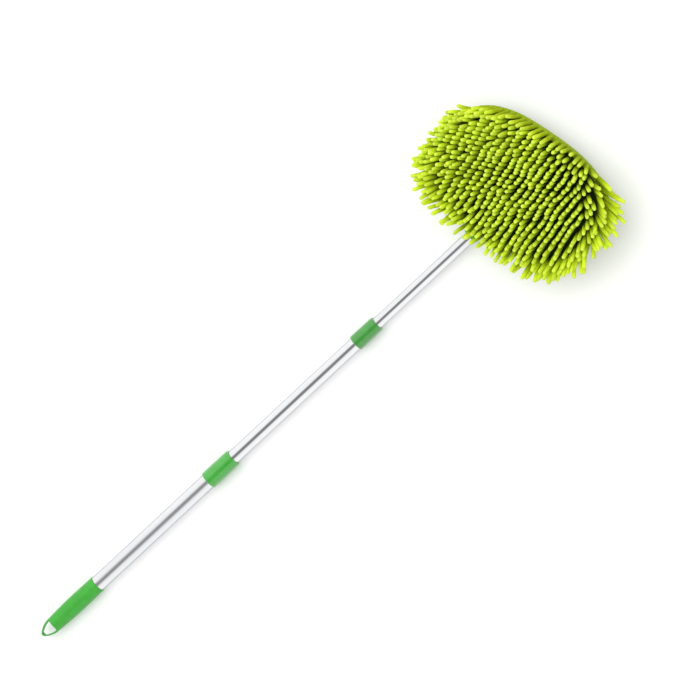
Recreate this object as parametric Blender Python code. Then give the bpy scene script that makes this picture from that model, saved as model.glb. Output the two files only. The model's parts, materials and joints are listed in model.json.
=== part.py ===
# Car wash brush: a chenille pad on a universal joint, on a three-section telescopic pole.
#
# The brush lies on its back, chenille up. Lengths are in metres. The origin is on the floor
# under the yaw pin of the head's joint, +Z is up, and the pole runs from there along -X to
# the hand grip. In the head's own frame X is the pad's short way, away from the pole, Y is
# its long way, and heights count from the tilt axis.

import math
import random

import bmesh
import bpy
from mathutils import Matrix, Vector

# Clearances
GAP = 0.0003
SEAM_GAP = 0.0006
OVERRUN = 0.002

# Pole tubes
LOWER_TUBE_RADIUS = 0.0110
MIDDLE_TUBE_RADIUS = 0.0095
UPPER_TUBE_RADIUS = 0.0080
TUBE_WALL = 0.0008
LOWER_TUBE_SHOWN = 0.211
MIDDLE_TUBE_SHOWN = 0.229
UPPER_TUBE_SHOWN = 0.171
TUBE_OVERLAP = 0.050
TUBE_IN_GRIP = 0.058
AXIS_HEIGHT = 0.0130

# Collars and the guide bushes in their mouths
LOWER_COLLAR_LENGTH = 0.047
LOWER_COLLAR_FOOT_RADIUS = 0.0129
LOWER_COLLAR_TOP_RADIUS = 0.0125
UPPER_COLLAR_LENGTH = 0.040
UPPER_COLLAR_FOOT_RADIUS = 0.0115
UPPER_COLLAR_TOP_RADIUS = 0.0108
COLLAR_EDGE = 0.0010
COLLAR_LIP = 0.0050
BUSH_LENGTH = 0.012

# Twist locks
CAM_PLUG_LENGTH = 0.020
CAM_FLANGE = 0.0020
CAM_SLEEVE_LENGTH = 0.0120
CAM_OFFSET = 0.0010
CAM_SLOT = 0.0015
CAM_SPINDLE_SHARE = 0.56
CAM_HEAD_SHARE = 0.86

# Hand grip and its hang loop
GRIP_LENGTH = 0.084
GRIP_MOUTH_RADIUS = 0.0121
GRIP_MIDDLE_RADIUS = 0.0125
GRIP_END_RADIUS = 0.0111
GRIP_EDGE = 0.0006
GRIP_SWELL_SHARE = 0.55
LOOP_LENGTH = 0.0224
LOOP_THICKNESS = 0.0110
LOOP_STRAP = 0.0030
LOOP_TIP_RADIUS = 0.0022
LOOP_SEAT_HALF_WIDTH = 0.0022

# Neck: a socket over the upper tube, ending in a fork
NECK_LENGTH = 0.082
NECK_MOUTH_RADIUS = 0.0112
NECK_ROOT_RADIUS = 0.0106
NECK_EDGE = 0.0010
SOCKET_DEPTH = 0.055
FORK_HALF_WIDTH = 0.0080
FORK_THROAT = 0.0085
FORK_WEB = 0.0060
FORK_ROOT = 0.0060
FORK_EDGE = 0.0012
BLIND_FLOOR = 0.0025

# Neck screw
SCREW_RADIUS = 0.0016
SCREW_LENGTH = 0.0060
SCREW_HEAD_RADIUS = 0.0030
SCREW_HEAD_HEIGHT = 0.0016
SCREW_FROM_MOUTH = 0.020

# Swivel block and its pins
TONGUE_HALF_WIDTH = 0.0075
TONGUE_HALF_HEIGHT = 0.0065
HUB_HALF_LENGTH = 0.0110
YAW_TO_TILT = 0.016
PIN_RADIUS = 0.0025
PIN_HEAD_RADIUS = 0.0045
PIN_HEAD_HEIGHT = 0.0015
WASHER_THICKNESS = 0.0010
WASHER_RADIUS = 0.0062
HEAD_TURN = math.radians(12.5)

# Back plate with the lugs of the tilt pin
PLATE_BACK = 0.0160
PLATE_THICKNESS = 0.0032
PLATE_INSET = 0.0060
PLATE_EDGE = 0.0010
LUG_THICKNESS = 0.0050
LUG_FOOT_HALF_WIDTH = 0.0050
LUG_WAIST_HALF_WIDTH = 0.0066
LUG_ROOT_HALF_WIDTH = 0.0105
GUSSET_THICKNESS = 0.0030
GUSSET_LENGTH = 0.0150
RIB_HEIGHT = 0.0028
RIB_THICKNESS = 0.0020
RIB_START = 0.034
RIB_TO_RIM = 0.036
RIB_SPACING = 0.0240
SINK = 0.0010

# Cover and foam
COVER_LENGTH = 0.240
COVER_WIDTH = 0.160
COVER_SQUARENESS = 2.7
FABRIC = 0.0016
SHOULDER_RADIUS = 0.0080
FOAM_THICKNESS = 0.0093
FOAM_EDGE = 0.0055
CROWN = 0.0050
HEM_THICKNESS = 0.0023
HEM_WIDTH = 0.0160
ELASTIC_THICKNESS = 0.0012
ELASTIC_WIDTH = 0.0080

# Chenille strands, four sides each
PILE_BACKING = 0.0022
STRAND_LENGTH = 0.028
STRAND_ROWS = 18
STRAND_COLUMNS = 40
PILE_SLICES = 4
STRAND_BEND_SHARE = 0.55
FAN_CENTRE_SHARE = (0.74, -0.42)
FAN_REACH_SHARE = 0.62
STRAND_LEAN = math.radians(50)
RIM_LEAN = math.radians(32)
RIM_LEAN_POWER = 5
ROOT_LEAN_SHARE = 0.75
TIP_LEAN_SHARE = 1.10
STRAND_BODY_SHARE = (0.62, 0.72)
STRAND_TIP_SHARE = (0.50, 0.62)
STRAND_JITTER = math.radians(1.0)
STRAND_SEED = 7

# Facets
ROUND_SIDES = 28
SMALL_SIDES = 16
RIM_ROWS = 10
RIM_COLUMNS = 20
SMOOTH_ANGLE = math.radians(35)

# Stations along the pole, from the yaw pin to the tip of the hang loop
NECK_MOUTH_X = -NECK_LENGTH
UPPER_COLLAR_TOP_X = NECK_MOUTH_X - UPPER_TUBE_SHOWN
UPPER_COLLAR_X = UPPER_COLLAR_TOP_X - UPPER_COLLAR_LENGTH
LOWER_COLLAR_TOP_X = UPPER_COLLAR_X - MIDDLE_TUBE_SHOWN
LOWER_COLLAR_X = LOWER_COLLAR_TOP_X - LOWER_COLLAR_LENGTH
GRIP_MOUTH_X = LOWER_COLLAR_X - LOWER_TUBE_SHOWN
MIDDLE_TUBE_X = LOWER_COLLAR_X - TUBE_OVERLAP
UPPER_TUBE_X = UPPER_COLLAR_X - TUBE_OVERLAP

# Heights in the head, above the tilt axis
PLATE_TOP = PLATE_BACK + PLATE_THICKNESS
FOAM_BASE = PLATE_TOP + GAP
RIM_UNDERSIDE = FOAM_BASE + FOAM_THICKNESS + GAP
RIM_TOP = RIM_UNDERSIDE + PILE_BACKING
BAND_BASE = PLATE_BACK
HEM_TOP = PLATE_BACK - GAP
LUG_INNER_Y = HUB_HALF_LENGTH + WASHER_THICKNESS + 2 * GAP
LUG_OUTER_Y = LUG_INNER_Y + LUG_THICKNESS

GREEN = (0.095, 0.451, 0.078)
DARK_GREEN = (0.060, 0.310, 0.055)
ALUMINIUM = (0.780, 0.790, 0.800)
STEEL = (0.560, 0.570, 0.580)
NYLON = (0.700, 0.700, 0.680)
LIME = (0.376, 0.521, 0.019)
LIME_CLOTH = (0.330, 0.480, 0.030)
FOAM_GREY = (0.360, 0.370, 0.380)
ELASTIC_WHITE = (0.640, 0.650, 0.620)


# Shared makers

def clear_scene():
    for existing in list(bpy.data.objects):
        bpy.data.objects.remove(existing, do_unlink=True)


def make_material(name, colour, roughness, metallic=0.0):
    material = bpy.data.materials.new(name)
    material.use_nodes = True
    shader = material.node_tree.nodes["Principled BSDF"]
    shader.inputs["Base Color"].default_value = (*colour, 1.0)
    shader.inputs["Roughness"].default_value = roughness
    shader.inputs["Metallic"].default_value = metallic
    return material


def add_object(name, bm, parent, location=(0, 0, 0), rotation=(0, 0, 0)):
    """Link a finished bmesh under its joint's empty."""
    bmesh.ops.recalc_face_normals(bm, faces=bm.faces)
    mesh = bpy.data.meshes.new(name)
    bm.to_mesh(mesh)
    bm.free()
    mesh.shade_smooth()
    mesh.set_sharp_from_angle(angle=SMOOTH_ANGLE)
    made = bpy.data.objects.new(name, mesh)
    bpy.context.scene.collection.objects.link(made)
    made.parent = parent
    made.location = location
    made.rotation_euler = rotation
    return made


def add_part(name, bm, parent, look, location=(0, 0, 0), rotation=(0, 0, 0)):
    part = add_object(name, bm, parent, location, rotation)
    part.data.materials.append(make_material(name, *look))
    return part


def add_guide(name, bm, parent, location=(0, 0, 0), rotation=(0, 0, 0)):
    """A hidden shape that a Boolean reads."""
    guide = add_object(name, bm, parent, location, rotation)
    guide.hide_render = True
    guide.display_type = "WIRE"
    return guide


def add_empty(name, location, parent=None, turn=0.0):
    empty = bpy.data.objects.new(name, None)
    bpy.context.scene.collection.objects.link(empty)
    empty.parent = parent
    empty.location = location
    empty.rotation_euler = (0, 0, turn)
    return empty


def combine(part, operand, operation):
    modifier = part.modifiers.new(operation.lower(), "BOOLEAN")
    modifier.operation = operation
    modifier.solver = "EXACT"
    modifier.object = operand


def soften(part, width, segments=2):
    modifier = part.modifiers.new("soft edges", "BEVEL")
    modifier.width = width
    modifier.segments = segments
    modifier.limit_method = "ANGLE"
    modifier.angle_limit = SMOOTH_ANGLE


def arc(centre, radius, start, end, steps):
    """Points of an arc, angles in degrees, both ends included."""
    points = []
    for step in range(steps + 1):
        angle = math.radians(start + (end - start) * step / steps)
        points.append((centre[0] + radius * math.cos(angle), centre[1] + radius * math.sin(angle)))
    return points


def turned(profile, sides, closed=False):
    """A body turned about the X axis. Points are (x, radius) or (x, radius, shift along Y).

    An open profile starts and ends on the axis. A closed one goes round a ring's section.
    """
    bm = bmesh.new()
    rings = []
    for point in profile:
        x, radius = point[0], point[1]
        shift = point[2] if len(point) > 2 else 0.0
        if radius == 0:
            rings.append([bm.verts.new((x, shift, 0))])
            continue
        ring = []
        for side in range(sides):
            angle = 2 * math.pi * side / sides
            ring.append(bm.verts.new((x, shift + radius * math.cos(angle), radius * math.sin(angle))))
        rings.append(ring)
    pairs = list(zip(rings, rings[1:]))
    if closed:
        pairs.append((rings[-1], rings[0]))
    for one, two in pairs:
        if len(one) == len(two) == 1:
            continue
        for side in range(sides):
            after = (side + 1) % sides
            corners = [one[side % len(one)], one[after % len(one)]]
            corners += [two[after % len(two)], two[side % len(two)]]
            bm.faces.new(list(dict.fromkeys(corners)))
    return bm


def prism(outline, low, high):
    """A 2-D outline drawn in X and Y, raised from one height to another."""
    bm = bmesh.new()
    bottom = [bm.verts.new((x, y, low)) for x, y in outline]
    top = [bm.verts.new((x, y, high)) for x, y in outline]
    bm.faces.new(bottom)
    bm.faces.new(top)
    for index, corner in enumerate(bottom):
        after = (index + 1) % len(bottom)
        bm.faces.new((corner, bottom[after], top[after], top[index]))
    return bm


def box(low, high):
    outline = [(low[0], low[1]), (high[0], low[1]), (high[0], high[1]), (low[0], high[1])]
    return prism(outline, low[2], high[2])


def rod(radius, low, high, sides=SMALL_SIDES):
    """A plain round bar along X, for holes and shafts."""
    return turned([(low, 0), (low, radius), (high, radius), (high, 0)], sides)


ALONG_Y = (0, 0, math.pi / 2)
ALONG_Z = (0, -math.pi / 2, 0)


# Pole

def make_tube(name, radius, low_x, high_x, parent):
    length = high_x - low_x
    bore = radius - TUBE_WALL
    profile = [(0, bore), (0, radius), (length, radius), (length, bore)]
    location = (low_x - parent["station"], 0, 0)
    return add_part(name, turned(profile, ROUND_SIDES, closed=True), parent, (ALUMINIUM, 0.28, 1.0), location)


def make_collar(name, held_radius, passing_radius, length, foot_radius, top_radius, parent, foot_x):
    """A cap over the outer tube's end, with a lip that the inner tube passes."""
    lip_x = length - COLLAR_LIP
    profile = [(0, held_radius + GAP)]
    profile += arc((COLLAR_EDGE, foot_radius - COLLAR_EDGE), COLLAR_EDGE, 180, 90, 3)
    profile += arc((length - COLLAR_EDGE, top_radius - COLLAR_EDGE), COLLAR_EDGE, 90, 0, 3)
    profile += [(length, passing_radius + GAP), (lip_x, passing_radius + GAP), (lip_x, held_radius + GAP)]
    location = (foot_x - parent["station"], 0, 0)
    add_part(name, turned(profile, ROUND_SIDES, closed=True), parent, (GREEN, 0.38), location)


def make_bush(name, held_radius, passing_radius, collar_length, parent, foot_x):
    """The ring between the outer tube's end and the collar's lip, which the inner tube runs in."""
    bore = passing_radius + GAP
    profile = [(0, bore), (0, held_radius), (BUSH_LENGTH, held_radius), (BUSH_LENGTH, bore)]
    location = (foot_x + bush_start(collar_length) - parent["station"], 0, 0)
    add_part(name, turned(profile, ROUND_SIDES, closed=True), parent, (NYLON, 0.5), location)


def bush_start(collar_length):
    return collar_length - COLLAR_LIP - GAP - BUSH_LENGTH


def tube_end_in_collar(foot_x, collar_length):
    return foot_x + bush_start(collar_length) - GAP


def make_cam_plug(name, tube_radius, parent, tube_x):
    """Pressed into the inner tube's end: a plug, a flange, an off-centre spindle and its head."""
    plug_radius = tube_radius - TUBE_WALL - GAP
    spindle = CAM_SPINDLE_SHARE * tube_radius
    head = CAM_HEAD_SHARE * tube_radius
    flange_x = -GAP - CAM_FLANGE
    spindle_x = flange_x - CAM_SLEEVE_LENGTH - 2 * GAP
    profile = [(CAM_PLUG_LENGTH, 0), (CAM_PLUG_LENGTH, plug_radius), (-GAP, plug_radius)]
    profile += [(-GAP, tube_radius), (flange_x, tube_radius)]
    profile += [(flange_x, spindle, CAM_OFFSET), (spindle_x, spindle, CAM_OFFSET)]
    profile += [(spindle_x, head), (spindle_x - CAM_FLANGE, head), (spindle_x - CAM_FLANGE, 0)]
    location = (tube_x - parent["station"], 0, 0)
    add_part(name, turned(profile, SMALL_SIDES), parent, (DARK_GREEN, 0.45), location)


def make_cam_sleeve(name, tube_radius, outer_tube_radius, parent, tube_x):
    """The split ring round the spindle, which drags on the outer tube's bore."""
    outer = outer_tube_radius - TUBE_WALL - GAP
    inner = CAM_SPINDLE_SHARE * tube_radius + CAM_OFFSET + GAP
    half_slot = math.degrees(math.asin(CAM_SLOT / 2 / inner))
    outline = arc((0, 0), outer, half_slot, 360 - half_slot, SMALL_SIDES)
    outline += arc((0, 0), inner, 360 - half_slot, half_slot, SMALL_SIDES)
    top_x = tube_x - CAM_FLANGE - 2 * GAP
    location = (top_x - CAM_SLEEVE_LENGTH - parent["station"], 0, 0)
    # Stood on end, so the ring's height runs along the pole
    turn = (math.pi / 2, 0, math.pi / 2)
    add_part(name, prism(outline, 0, CAM_SLEEVE_LENGTH), parent, (NYLON, 0.55), location, turn)


def make_grip(parent):
    """Sleeve with a shallow swell, closed at its end, and the pointed hang loop, as one moulding."""
    bore = LOWER_TUBE_RADIUS + GAP
    bore_end = GRIP_LENGTH - TUBE_IN_GRIP - GAP
    swell_x = GRIP_LENGTH * GRIP_SWELL_SHARE
    profile = [(-LOOP_LENGTH, 0)]
    # The nose narrows on one arc from the sleeve's end to the blunt tip
    rise = GRIP_END_RADIUS - LOOP_TIP_RADIUS
    nose_radius = (LOOP_LENGTH ** 2 + rise ** 2) / (2 * rise)
    nose_angle = math.degrees(math.asin(LOOP_LENGTH / nose_radius))
    profile += arc((0, GRIP_END_RADIUS - nose_radius), nose_radius, 90 + nose_angle, 90, 8)
    profile += [(swell_x, GRIP_MIDDLE_RADIUS)]
    profile += arc((GRIP_LENGTH - GRIP_EDGE, GRIP_MOUTH_RADIUS - GRIP_EDGE), GRIP_EDGE, 90, 0, 2)
    profile += [(GRIP_LENGTH, bore), (bore_end, bore), (bore_end, 0)]
    location = (GRIP_MOUTH_X - GRIP_LENGTH - parent["station"], 0, 0)
    grip = add_part("hand_grip", turned(profile, ROUND_SIDES), parent, (GREEN, 0.42), location)
    # The loop is flat: both its faces are cut back as far as the sleeve's end
    reach = GRIP_MIDDLE_RADIUS + OVERRUN
    half = LOOP_THICKNESS / 2
    for side, (low, high) in {"top": (half, reach), "bottom": (-reach, -half)}.items():
        block = box((-LOOP_LENGTH - OVERRUN, -reach, low), (0, reach, high))
        combine(grip, add_guide("loop_face_" + side, block, parent, location), "DIFFERENCE")
    # The hole follows the nose a strap's width inside it, to a short flat seat for a hook
    inner_radius = nose_radius - LOOP_STRAP
    inner_centre = GRIP_END_RADIUS - nose_radius
    inner_angle = math.degrees(math.acos((LOOP_SEAT_HALF_WIDTH - inner_centre) / inner_radius))
    side_arc = arc((0, inner_centre), inner_radius, 90 + inner_angle, 90, 8)
    outline = side_arc + [(x, -y) for x, y in reversed(side_arc)]
    hole = prism(outline, -reach, reach)
    hole_place = (location[0] - LOOP_STRAP / 2, 0, 0)
    combine(grip, add_guide("loop_hole", hole, parent, hole_place), "DIFFERENCE")


def make_neck(parent):
    """Socket over the upper tube and the fork that holds the yaw pin, as one moulding."""
    bore = UPPER_TUBE_RADIUS + GAP
    root_x = -FORK_THROAT - FORK_WEB
    bore_end = NECK_MOUTH_X + SOCKET_DEPTH + GAP
    profile = [(NECK_MOUTH_X, bore)]
    profile += arc((NECK_MOUTH_X + NECK_EDGE, NECK_MOUTH_RADIUS - NECK_EDGE), NECK_EDGE, 180, 90, 3)
    profile += [(root_x, NECK_ROOT_RADIUS), (root_x, 0), (bore_end, 0), (bore_end, bore)]
    ring = turned(profile, ROUND_SIDES, closed=True)
    neck = add_part("neck_socket", ring, parent, (GREEN, 0.40))
    back_x = root_x - FORK_ROOT
    outline = [(back_x, FORK_HALF_WIDTH), (back_x, -FORK_HALF_WIDTH)]
    outline += arc((0, 0), FORK_HALF_WIDTH, -90, 90, 12)
    fork = add_guide("fork_block", prism(outline, -AXIS_HEIGHT, AXIS_HEIGHT), parent)
    soften(fork, FORK_EDGE)
    combine(neck, fork, "UNION")
    slot = TONGUE_HALF_HEIGHT + GAP
    reach = FORK_HALF_WIDTH + OVERRUN
    throat = box((-FORK_THROAT, -reach, -slot), (reach, reach, slot))
    combine(neck, add_guide("fork_slot", throat, parent), "DIFFERENCE")
    pin_hole = rod(PIN_RADIUS + GAP, -AXIS_HEIGHT + BLIND_FLOOR, AXIS_HEIGHT + OVERRUN)
    combine(neck, add_guide("yaw_pin_hole", pin_hole, parent, rotation=ALONG_Z), "DIFFERENCE")
    return neck


def make_neck_screw(neck, tube, parent):
    """A self-tapping screw through the socket's wall into the tube, on the side away from view."""
    x = NECK_MOUTH_X + SCREW_FROM_MOUTH
    seat = NECK_MOUTH_RADIUS + GAP
    profile = [(seat - SCREW_LENGTH, 0), (seat - SCREW_LENGTH, SCREW_RADIUS), (seat, SCREW_RADIUS)]
    profile += [(seat, SCREW_HEAD_RADIUS)]
    dome = seat + SCREW_HEAD_HEIGHT
    profile += [(seat + SCREW_HEAD_HEIGHT / 2, SCREW_HEAD_RADIUS), (dome, SCREW_HEAD_RADIUS / 2), (dome, 0)]
    screw = turned(profile, SMALL_SIDES)
    facing = (0, 0, -math.pi / 2)
    add_part("neck_screw", screw, parent, (STEEL, 0.3, 1.0), (x, 0, 0), facing)
    hole = rod(SCREW_RADIUS + GAP, seat - SCREW_LENGTH - GAP, seat + OVERRUN)
    guide = add_guide("screw_hole", hole, parent, (x, 0, 0), facing)
    combine(neck, guide, "DIFFERENCE")
    combine(tube, guide, "DIFFERENCE")


# Universal joint

def make_yaw_pin(parent):
    tip = -AXIS_HEIGHT + BLIND_FLOOR + GAP
    seat = AXIS_HEIGHT + GAP
    profile = [(tip, 0), (tip, PIN_RADIUS), (seat, PIN_RADIUS), (seat, PIN_HEAD_RADIUS)]
    top = seat + PIN_HEAD_HEIGHT
    profile += [(seat + PIN_HEAD_HEIGHT / 2, PIN_HEAD_RADIUS), (top, PIN_HEAD_RADIUS / 2), (top, 0)]
    add_part("yaw_pin", turned(profile, SMALL_SIDES), parent, (STEEL, 0.3, 1.0), rotation=ALONG_Z)


def make_swivel_block(parent):
    """Tongue in the neck's fork and hub between the plate's lugs, with a hole for each pin."""
    outline = [(YAW_TO_TILT, -TONGUE_HALF_WIDTH), (YAW_TO_TILT, TONGUE_HALF_WIDTH)]
    outline += arc((0, 0), TONGUE_HALF_WIDTH, 90, 270, 12)
    tongue = prism(outline, -TONGUE_HALF_HEIGHT, TONGUE_HALF_HEIGHT)
    block = add_part("swivel_block", tongue, parent, (DARK_GREEN, 0.42))
    tilt_axis = (YAW_TO_TILT, 0, 0)
    hub = rod(TONGUE_HALF_HEIGHT, -HUB_HALF_LENGTH, HUB_HALF_LENGTH, ROUND_SIDES)
    combine(block, add_guide("hub", hub, parent, tilt_axis, ALONG_Y), "UNION")
    reach = HUB_HALF_LENGTH + OVERRUN
    hole = rod(PIN_RADIUS + GAP, -reach, reach)
    combine(block, add_guide("tilt_hole", hole, parent, tilt_axis, ALONG_Y), "DIFFERENCE")
    hole = rod(PIN_RADIUS + GAP, -reach, reach)
    combine(block, add_guide("yaw_hole", hole, parent, rotation=ALONG_Z), "DIFFERENCE")


def make_tilt_pin(parent):
    """A rivet through both lugs, with a formed head at each end."""
    seat = LUG_OUTER_Y + GAP
    top = seat + PIN_HEAD_HEIGHT
    side = [(seat, PIN_RADIUS), (seat, PIN_HEAD_RADIUS), (seat + PIN_HEAD_HEIGHT / 2, PIN_HEAD_RADIUS)]
    side += [(top, PIN_HEAD_RADIUS / 2), (top, 0)]
    profile = [(-x, radius) for x, radius in reversed(side)] + side
    add_part("tilt_pin", turned(profile, SMALL_SIDES), parent, (STEEL, 0.3, 1.0), rotation=ALONG_Y)


def make_tilt_washers(parent):
    """A nylon washer beside each end of the hub."""
    start = HUB_HALF_LENGTH + GAP
    end = start + WASHER_THICKNESS
    bore = PIN_RADIUS + GAP
    for side, name in ((1, "tilt_washer_left"), (-1, "tilt_washer_right")):
        profile = [(side * start, bore), (side * start, WASHER_RADIUS)]
        profile += [(side * end, WASHER_RADIUS), (side * end, bore)]
        ring = turned(profile, SMALL_SIDES, closed=True)
        add_part(name, ring, parent, (NYLON, 0.5), rotation=ALONG_Y)


# Head

def rounded(short, long, inset=0.0):
    """Square coordinates from -1 to 1 to the cover's outline, even inside, true at the rim."""
    power = COVER_SQUARENESS
    norm = (abs(short) ** power + abs(long) ** power) ** (1 / power)
    square = max(abs(short), abs(long))
    pull = 1.0 if norm == 0 else 1 - square ** 2 * (1 - square / norm)
    return (short * pull * (COVER_WIDTH / 2 - inset), long * pull * (COVER_LENGTH / 2 - inset))


def rim_steps(rows, columns):
    """Square coordinates once round the rim."""
    corners = [(2 * row / rows - 1, -1) for row in range(rows)]
    corners += [(1, 2 * column / columns - 1) for column in range(columns)]
    corners += [(1 - 2 * row / rows, 1) for row in range(rows)]
    corners += [(-1, 1 - 2 * column / columns) for column in range(columns)]
    return corners


def rim_rings(profile, closed):
    """Rings round the head from (inset, height) points, capped at both ends unless closed."""
    bm = bmesh.new()
    steps = rim_steps(RIM_ROWS, RIM_COLUMNS)
    rings = []
    for inset, height in profile:
        ring = [rounded(short, long, inset) for short, long in steps]
        rings.append([bm.verts.new((x, y, height)) for x, y in ring])
    pairs = list(zip(rings, rings[1:]))
    if closed:
        pairs.append((rings[-1], rings[0]))
    for one, two in pairs:
        for index, corner in enumerate(one):
            after = (index + 1) % len(one)
            bm.faces.new((corner, one[after], two[after], two[index]))
    if not closed:
        bm.faces.new(rings[0])
        bm.faces.new(rings[-1])
    return bm


def crown(short, long):
    return CROWN * (1 - short ** 2) * (1 - long ** 2)


def slice_edges():
    return [2 * cut / PILE_SLICES - 1 for cut in range(PILE_SLICES + 1)]


def underside(short, long):
    """Height of the backing's lower face: crowned, and straight between the slices' edges."""
    edges = slice_edges()
    for low, high in zip(edges, edges[1:]):
        if long <= high:
            break
    along = (long - low) / (high - low)
    return RIM_UNDERSIDE + crown(short, low) * (1 - along) + crown(short, high) * along


def make_back_plate(parent):
    """Moulded plate with two lugs for the tilt pin, their gussets, and stiffening ribs."""
    edge = PLATE_EDGE
    profile = [(PLATE_INSET + edge, PLATE_BACK), (PLATE_INSET, PLATE_BACK + edge)]
    profile += [(PLATE_INSET, PLATE_TOP - edge), (PLATE_INSET + edge, PLATE_TOP)]
    plate = add_part("back_plate", rim_rings(profile, closed=False), parent, (DARK_GREEN, 0.45))
    root = PLATE_BACK + SINK
    lug = [(-LUG_FOOT_HALF_WIDTH, -AXIS_HEIGHT), (LUG_FOOT_HALF_WIDTH, -AXIS_HEIGHT)]
    lug += [(LUG_WAIST_HALF_WIDTH, 0), (LUG_ROOT_HALF_WIDTH, root)]
    lug += [(-LUG_ROOT_HALF_WIDTH, root), (-LUG_WAIST_HALF_WIDTH, 0)]
    gusset_end = LUG_OUTER_Y + GUSSET_LENGTH
    gusset = [(LUG_OUTER_Y - SINK, PIN_HEAD_RADIUS + SINK), (LUG_OUTER_Y + SINK, PIN_HEAD_RADIUS + SINK)]
    gusset += [(gusset_end, PLATE_BACK), (gusset_end, root), (LUG_OUTER_Y - SINK, root)]
    upright = (math.pi / 2, 0, 0)
    for side, name in ((1, "left"), (-1, "right")):
        raised = prism(lug, -side * LUG_OUTER_Y, -side * LUG_INNER_Y)
        combine(plate, add_guide("lug_" + name, raised, parent, rotation=upright), "UNION")
        raised = prism([(side * y, z) for y, z in gusset], -GUSSET_THICKNESS / 2, GUSSET_THICKNESS / 2)
        across = (math.pi / 2, 0, math.pi / 2)
        combine(plate, add_guide("gusset_" + name, raised, parent, rotation=across), "UNION")
        for row in (-1, 0, 1):
            middle = row * RIB_SPACING
            ends = sorted((side * RIB_START, side * (COVER_LENGTH / 2 - RIB_TO_RIM)))
            low = (middle - RIB_THICKNESS / 2, ends[0], PLATE_BACK - RIB_HEIGHT)
            high = (middle + RIB_THICKNESS / 2, ends[1], root)
            guide = add_guide("rib_" + name + "_" + str(row), box(low, high), parent)
            combine(plate, guide, "UNION")
    reach = LUG_OUTER_Y + OVERRUN
    hole = rod(PIN_RADIUS + GAP, -reach, reach)
    combine(plate, add_guide("lug_hole", hole, parent, rotation=ALONG_Y), "DIFFERENCE")


def make_foam(parent):
    """Pad between plate and cover, with a rounded shoulder and a crowned top."""
    bm = bmesh.new()
    inset = FABRIC + SEAM_GAP
    top_inset = inset + FOAM_EDGE
    top = {}
    for row in range(RIM_ROWS + 1):
        for column in range(RIM_COLUMNS + 1):
            short, long = 2 * row / RIM_ROWS - 1, 2 * column / RIM_COLUMNS - 1
            x, y = rounded(short, long, top_inset)
            height = underside(short, long) - GAP
            top[row, column] = bm.verts.new((x, y, height))
    for row in range(RIM_ROWS):
        for column in range(RIM_COLUMNS):
            corners = (top[row, column], top[row + 1, column], top[row + 1, column + 1], top[row, column + 1])
            bm.faces.new(corners)
    steps = rim_steps(RIM_ROWS, RIM_COLUMNS)
    rim = []
    for short, long in steps:
        rim.append(top[round((short + 1) * RIM_ROWS / 2), round((long + 1) * RIM_COLUMNS / 2)])
    level = RIM_UNDERSIDE - GAP
    side = arc((top_inset, level - FOAM_EDGE), FOAM_EDGE, 90, 180, 3)[1:] + [(inset, FOAM_BASE)]
    for ring_inset, height in side:
        ring = [bm.verts.new((*rounded(short, long, ring_inset), height)) for short, long in steps]
        for index, corner in enumerate(rim):
            after = (index + 1) % len(rim)
            bm.faces.new((corner, rim[after], ring[after], ring[index]))
        rim = ring
    bm.faces.new(rim)
    add_part("foam_pad", bm, parent, (FOAM_GREY, 0.9))


def make_cover_edges(parent):
    """Side band with its rounded shoulder, the hem under the plate, and the elastic on the hem."""
    centre = (SHOULDER_RADIUS, RIM_TOP - SHOULDER_RADIUS)
    profile = [(FABRIC, BAND_BASE), (0, BAND_BASE)] + arc(centre, SHOULDER_RADIUS, 180, 90, 4)
    profile += arc(centre, SHOULDER_RADIUS - FABRIC, 90, 180, 2)
    band = rim_rings(profile, closed=True)
    add_part("side_band", band, parent, (LIME_CLOTH, 0.85))
    half = HEM_THICKNESS / 2
    low = HEM_TOP - HEM_THICKNESS
    profile = arc((half, HEM_TOP - half), half, 90, 270, 4)
    profile += [(HEM_WIDTH, low), (HEM_WIDTH, HEM_TOP)]
    add_part("back_hem", rim_rings(profile, closed=True), parent, (LIME_CLOTH, 0.85))
    inner, outer = HEM_WIDTH + GAP + ELASTIC_WIDTH, HEM_WIDTH + GAP
    base = HEM_TOP - ELASTIC_THICKNESS
    profile = [(outer, HEM_TOP), (outer, base), (inner, base), (inner, HEM_TOP)]
    add_part("hem_elastic", rim_rings(profile, closed=True), parent, (ELASTIC_WHITE, 0.8))


def strand_lean(x, y, edge, jitter):
    """Lean of a strand as a flat vector: away from the fan's centre, more with distance.

    edge runs from 0 in the middle of the pad to 1 at its rim, where the strands droop.
    """
    centre = Vector((FAN_CENTRE_SHARE[0] * COVER_WIDTH / 2, FAN_CENTRE_SHARE[1] * COVER_LENGTH / 2))
    away = Vector((x, y)) - centre
    reach = FAN_REACH_SHARE * COVER_WIDTH / 2
    most = STRAND_LEAN + RIM_LEAN * edge ** RIM_LEAN_POWER
    lean = most * (1 - math.exp(-away.length / reach))
    noise = Vector((jitter.uniform(-1, 1), jitter.uniform(-1, 1))) * STRAND_JITTER
    return away.normalized() * lean + noise


def leaning(lean):
    """Rotation that tips +Z by a flat lean vector's length, towards it."""
    angle = lean.length
    if angle == 0:
        return Matrix.Identity(3)
    axis = Vector((-lean.y, lean.x, 0)).normalized()
    return Matrix.Rotation(angle, 3, axis)


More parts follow.
